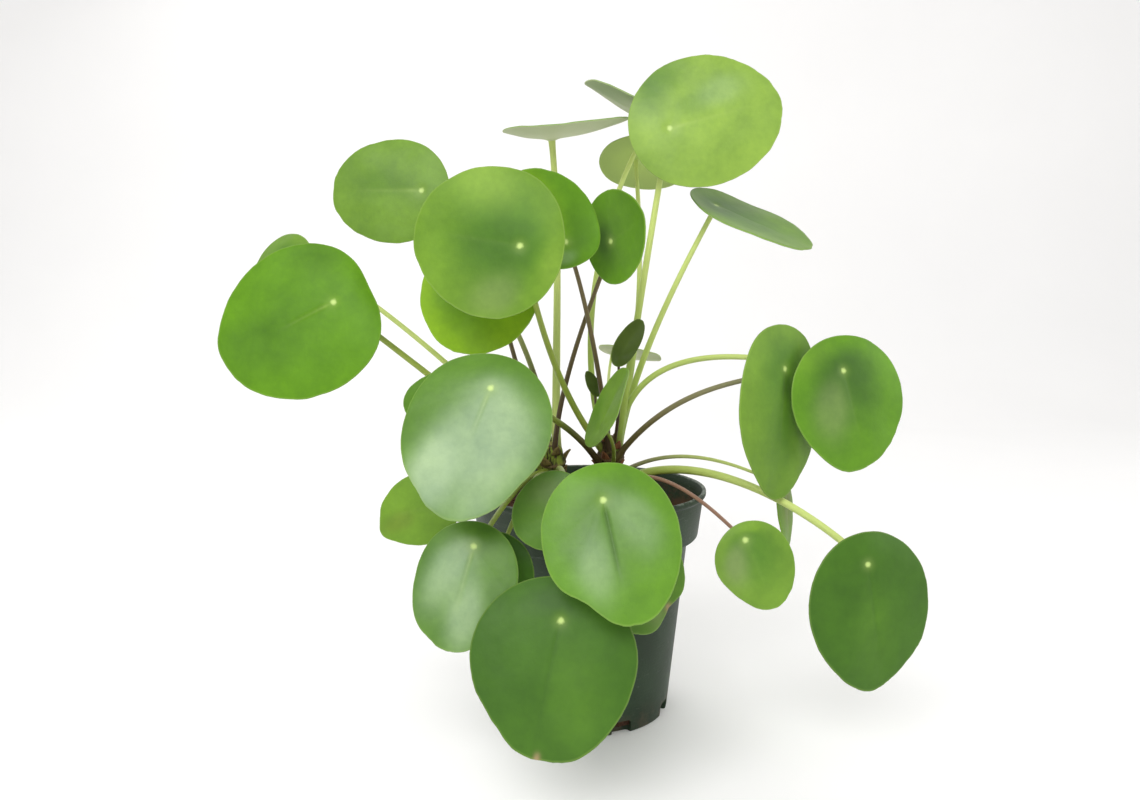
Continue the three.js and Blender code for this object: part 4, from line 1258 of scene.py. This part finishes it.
def pot_profile(settings):
    """The pot's outline from the middle of its foot, up its outside, over the lip and down its inside."""
    height, foot, lip = settings.height / MM, settings.foot_radius / MM, settings.lip_radius / MM
    neck, neck_height, step, band = (POT[name] for name in ("neck", "neck_height", "step", "band"))
    wall, floor = 1.6, 2.4
    hollow, hollow_height, foot_ring = 9, 1.2, 7
    lip_flare, lip_height, lip_face, lip_slope = 1.2, 3, 2.2, 0.8
    inner_foot = foot + (neck - foot) * floor / neck_height - wall
    points = [
        (0, hollow_height, 0), (foot - hollow, hollow_height, 0.5), (foot - foot_ring, 0, 0.8),
        (foot, 0, 1.4), (neck, neck_height, 0.8), (band, neck_height + step, 0.9),
        (lip - lip_flare, height - lip_height, 0.6), (lip, height - lip_face, 0.7), (lip, height, 0.9),
        (lip - wall, height, 0.7), (lip - wall - lip_slope, height - lip_height, 0.8),
        (band - wall, neck_height + step * 2, 0.8), (neck - wall, neck_height + step, 0.8),
        (inner_foot, floor, 1.2), (0, floor, 0),
    ]
    return [point * MM for point in fillet(points)]


def drain_cutters(settings):
    """Rounded blocks at the foot's edge, one for each drain hole."""
    mesh = bmesh.new()
    size = Matrix.Diagonal((DRAIN["depth"] * MM, DRAIN["width"] * MM, DRAIN["height"] * MM, 1))
    rounding = DRAIN["rounding"] * MM
    out = Matrix.Translation((settings.foot_radius, 0, 0))
    for k in range(DRAIN["count"]):
        turn = Matrix.Rotation(2 * math.pi * (k + 0.5) / DRAIN["count"], 4, "Z")
        block = bmesh.ops.create_cube(mesh, size=1, matrix=turn @ out @ size)
        edges = list({edge for vertex in block["verts"] for edge in vertex.link_edges})
        bmesh.ops.bevel(mesh, geom=edges, offset=rounding, segments=4, profile=0.5, affect="EDGES")
    return piece_from("drain_cutters", mesh_from("drain cutters", mesh))


class PLANT_OT_pot(bpy.types.Operator):
    """Turn the nursery pot and cut its drain holes"""
    bl_idname = "plant.pot"
    bl_label = "Pot"

    def execute(self, context):
        settings = context.scene.plant_pot
        shell = mesh_from("pot_shell", lathe(pot_profile(settings), POT["sides"]))
        pot = piece_from("pot_shell", shell, plastic_finish())
        cutters = drain_cutters(settings)
        cut = pot.modifiers.new("drain holes", "BOOLEAN")
        cut.operation = "DIFFERENCE"
        cut.solver = "EXACT"
        cut.object = cutters
        graph = context.evaluated_depsgraph_get()
        done = bpy.data.meshes.new_from_object(pot.evaluated_get(graph), depsgraph=graph)
        pot.modifiers.remove(cut)
        pot.data = done
        bpy.data.objects.remove(cutters)
        done.shade_smooth()
        done.set_sharp_from_angle(angle=math.radians(38))
        settle(pot, "pot", "pot")
        return {"FINISHED"}


def soil_mesh(settings):
    """Soil that fills the pot: it follows the wall inside, with a low uneven mound on top."""
    top, wall_radius = settings.soil_top / MM, SOIL_SIDE[-1][0]
    sides, count = 128, 40
    mesh = bmesh.new()

    def ring(radius, height_at):
        """Points round the pot at a radius, each at the height that is worked out for it."""
        line = []
        for k in range(sides):
            turn = 2 * math.pi * k / sides
            at = Vector((radius * math.cos(turn), radius * math.sin(turn), 0))
            line.append(mesh.verts.new(Vector((at.x, at.y, height_at(at, turn, radius))) * MM))
        return line

    def mound(at, turn, radius):
        """The height of the soil's uneven top, which is calmer next to the pot."""
        waves = sum(share * math.sin(number * turn + radius * drift) for share, number, drift in SOIL_WAVES)
        fine = noise.fractal(at * 0.22, 0.7, 2.1, 5) * 1.1
        away = min(1, (wall_radius - radius) / 2 + 0.4)
        return top + SOIL_RELIEF * (waves + 1 - radius / wall_radius) + fine * away

    rings = [ring(radius, lambda *_, height=height: height) for radius, height in SOIL_SIDE]
    rings += [ring(wall_radius * (count - k) / count, mound) for k in range(count)]
    bottom = mesh.verts.new((0, 0, SOIL_SIDE[0][1] * MM))
    middle = mesh.verts.new((0, 0, (top + SOIL_RELIEF) * MM))
    close_rings(mesh, bottom, rings, middle)
    data = mesh_from("potting_soil", mesh)
    data.shade_smooth()
    return data


CRUMB_SHAPES = ("First Shape", "Second Shape", "Third Shape")


def crumb_mesh(number):
    """One crumb: a lump with pushed corners, and few faces because it is repeated."""
    dice = random.Random(number)
    mesh = bmesh.new()
    bmesh.ops.create_icosphere(mesh, subdivisions=1, radius=1 * MM)
    long, broad, thick = CRUMBS[number]
    for vertex in mesh.verts:
        jolt = 1 + dice.uniform(-0.3, 0.3)
        vertex.co = Vector((vertex.co.x * long, vertex.co.y * broad, vertex.co.z * thick)) * jolt
    return mesh_from("crumb", mesh)


def crumbs_tree():
    """Crumbs of bark and peat scattered over the upper faces of a mesh."""
    tree, give = new_tree("crumbs", {
        "Geometry": "geometry", "Lowest": 0.084, "Density": 150000.0, "Smallest": 0.5, "Largest": 1.4,
        "Seed": 5, **{title: "object" for title in CRUMB_SHAPES}, "Skin": "material"})
    up = axes_of(tree, add_node(tree, "GeometryNodeInputNormal").outputs[0])[2]
    height = axes_of(tree, position(tree))[2]
    facing = up.math("GREATER_THAN", 0.5)
    high = height.math("GREATER_THAN", give["Lowest"])
    points = add_node(tree, "GeometryNodeDistributePointsOnFaces", {
        "Mesh": give["Geometry"], "Selection": facing * high, "Seed": give["Seed"]})
    feed(tree, points.inputs["Density"], give["Density"])
    shapes = add_node(tree, "GeometryNodeJoinGeometry")
    for title in reversed(CRUMB_SHAPES):
        shape = add_node(tree, "GeometryNodeObjectInfo", {"Object": give[title], "As Instance": True})
        tree.links.new(shape.outputs["Geometry"], shapes.inputs[0])
    spin = chance(tree, (-0.5, -0.5, 0), (0.5, 0.5, 2 * math.pi), give["Seed"], "FLOAT_VECTOR")
    turned = add_node(tree, "FunctionNodeEulerToRotation", {"Euler": spin})
    size = chance(tree, give["Smallest"], give["Largest"], give["Seed"] + 1)
    copies = add_node(tree, "GeometryNodeInstanceOnPoints", {
        "Points": points.outputs[0], "Instance": shapes.outputs[0], "Pick Instance": True,
        "Rotation": turned.outputs[0], "Scale": vector(tree, size, size, size)})
    end_tree(tree, copies.outputs[0], give["Skin"], smooth=False)
    return tree


class PLANT_OT_soil(bpy.types.Operator):
    """Fill the pot with soil and scatter crumbs over it"""
    bl_idname = "plant.soil"
    bl_label = "Soil"

    def execute(self, context):
        settings = context.scene.plant_pot
        light = tuple(settings.soil)
        dark = tuple(value * 0.35 for value in light)
        soil = piece_from("potting_soil", soil_mesh(settings), soil_finish("potting mix", light, dark))
        settle(soil, "soil", "soil")
        shapes = [piece_from(f"crumb_{k}", crumb_mesh(k)) for k in range(len(CRUMBS))]
        bark = soil_finish("crumbs of bark", earth("dry_crumb"), earth("damp_crumb"))
        values = {"Density": float(settings.crumbs), "Skin": bark, **dict(zip(CRUMB_SHAPES, shapes))}
        crumbs = grow("soil_crumbs", crumbs_tree(), values, soil.data.copy())
        for shape in shapes:
            bpy.data.objects.remove(shape)
        settle(crumbs, "soil")
        return {"FINISHED"}


# ------------------------------------------------------------------ stage


# The point that the lights face, and each light's name, place, width, height and share of the window's power.
AIM = (0, 0, 0.14)
LIGHTS = (
    ("window", (-0.35, -1.15, 0.95), 1.1, 0.75, 1.0),
    ("side", (1.4, -0.3, 0.7), 0.9, 0.9, 0.3),
    ("back", (-0.6, 1.0, 1.3), 1.0, 0.8, 0.4),
)


def soft_light(name, place, width, height, power):
    """A flat soft light at a place, turned towards the plant."""
    data = bpy.data.lights.new(name, "AREA")
    data.shape = "RECTANGLE"
    data.size = width
    data.size_y = height
    data.energy = power
    light = bpy.data.objects.new(name, data)
    light.location = place
    light.rotation_euler = (Vector(AIM) - Vector(place)).to_track_quat("-Z", "Y").to_euler()
    bpy.context.scene.collection.objects.link(light)


class PLANT_OT_stage(bpy.types.Operator):
    """Set out a pale floor, soft light and the camera"""
    bl_idname = "plant.stage"
    bl_label = "Stage"

    def execute(self, context):
        settings = context.scene.plant_stage
        mesh = bmesh.new()
        # The floor bends up into a backdrop behind the plant. These are metres.
        front, back, top, bend, half_width, steps = -3.0, 0.9, 3.0, 0.5, 4.0, 12
        line = [(front, 0.0), (back, 0.0)]
        for step in range(1, steps + 1):
            angle = math.radians(step * 90 / steps)
            line.append((back + bend * math.sin(angle), bend - bend * math.cos(angle)))
        line.append((back + bend, top))
        rows = [[mesh.verts.new((x, y, z)) for x in (-half_width, half_width)] for y, z in line]
        for low, high in zip(rows, rows[1:]):
            mesh.faces.new((low[0], low[1], high[1], high[0]))
        data = mesh_from("floor", mesh)
        data.shade_smooth()
        pale = Finish("pale floor", roughness=0.6, emission_color=(1, 1, 1, 1), emission_strength=0.08)
        cloud = pale.noise(6, 3, 0.5, 1.0)
        floor = tuple(settings.floor)
        pale.colour(pale.mix(cloud, floor, tuple(value * 0.96 for value in floor)))
        piece_from("floor", data, pale.material)

        for name, place, width, height, share in LIGHTS:
            soft_light(name, place, width, height, settings.window_power * share)
        world = bpy.data.worlds.new("even light")
        world.use_nodes = True
        sky = world.node_tree.nodes["Background"]
        sky.inputs["Color"].default_value = (1, 1, 1, 1)
        sky.inputs["Strength"].default_value = settings.sky
        context.scene.world = world
        context.scene.view_settings.view_transform = "Standard"

        lens = bpy.data.cameras.new("camera")
        lens.lens = settings.lens
        lens.sensor_width = 36
        camera = bpy.data.objects.new("camera", lens)
        camera.location = settings.camera
        camera.rotation_euler = (math.pi / 2 - settings.dip, 0, 0)
        context.scene.collection.objects.link(camera)
        context.scene.camera = camera
        return {"FINISHED"}


# ------------------------------------------------------------------ the add-on


class PLANT_PT_panel(bpy.types.Panel):
    """Lists the plant's pieces and their settings"""
    bl_idname = "PLANT_PT_panel"
    bl_label = "Money Plant"
    bl_space_type = "VIEW_3D"
    bl_region_type = "UI"
    bl_category = "Money Plant"

    def draw(self, context):
        for operator in OPERATORS:
            self.layout.operator(operator.bl_idname)
        for group in SETTINGS:
            box = self.layout.box()
            for name in SETTINGS[group].__annotations__:
                box.prop(getattr(context.scene, group), name)


SETTINGS = {
    "plant_tints": PlantTints,
    "plant_leaves": LeafSettings,
    "plant_pot": PotSettings,
    "plant_stage": StageSettings,
}
OPERATORS = (
    PLANT_OT_stage, PLANT_OT_pot, PLANT_OT_soil, PLANT_OT_stems, PLANT_OT_leaves, PLANT_OT_small_leaves)
CLASSES = (*SETTINGS.values(), *OPERATORS, PLANT_PT_panel)


def register():
    for item in CLASSES:
        bpy.utils.register_class(item)
    for name, group in SETTINGS.items():
        setattr(bpy.types.Scene, name, PointerProperty(type=group))


def unregister():
    for name in SETTINGS:
        delattr(bpy.types.Scene, name)
    for item in reversed(CLASSES):
        bpy.utils.unregister_class(item)


def main():
    register()
    bpy.ops.plant.stage()
    bpy.ops.plant.pot()
    bpy.ops.plant.soil()
    bpy.ops.plant.stems()
    bpy.ops.plant.leaves()
    bpy.ops.plant.small_leaves()
    bpy.context.view_layer.update()


if __name__ == "__main__":
    main()
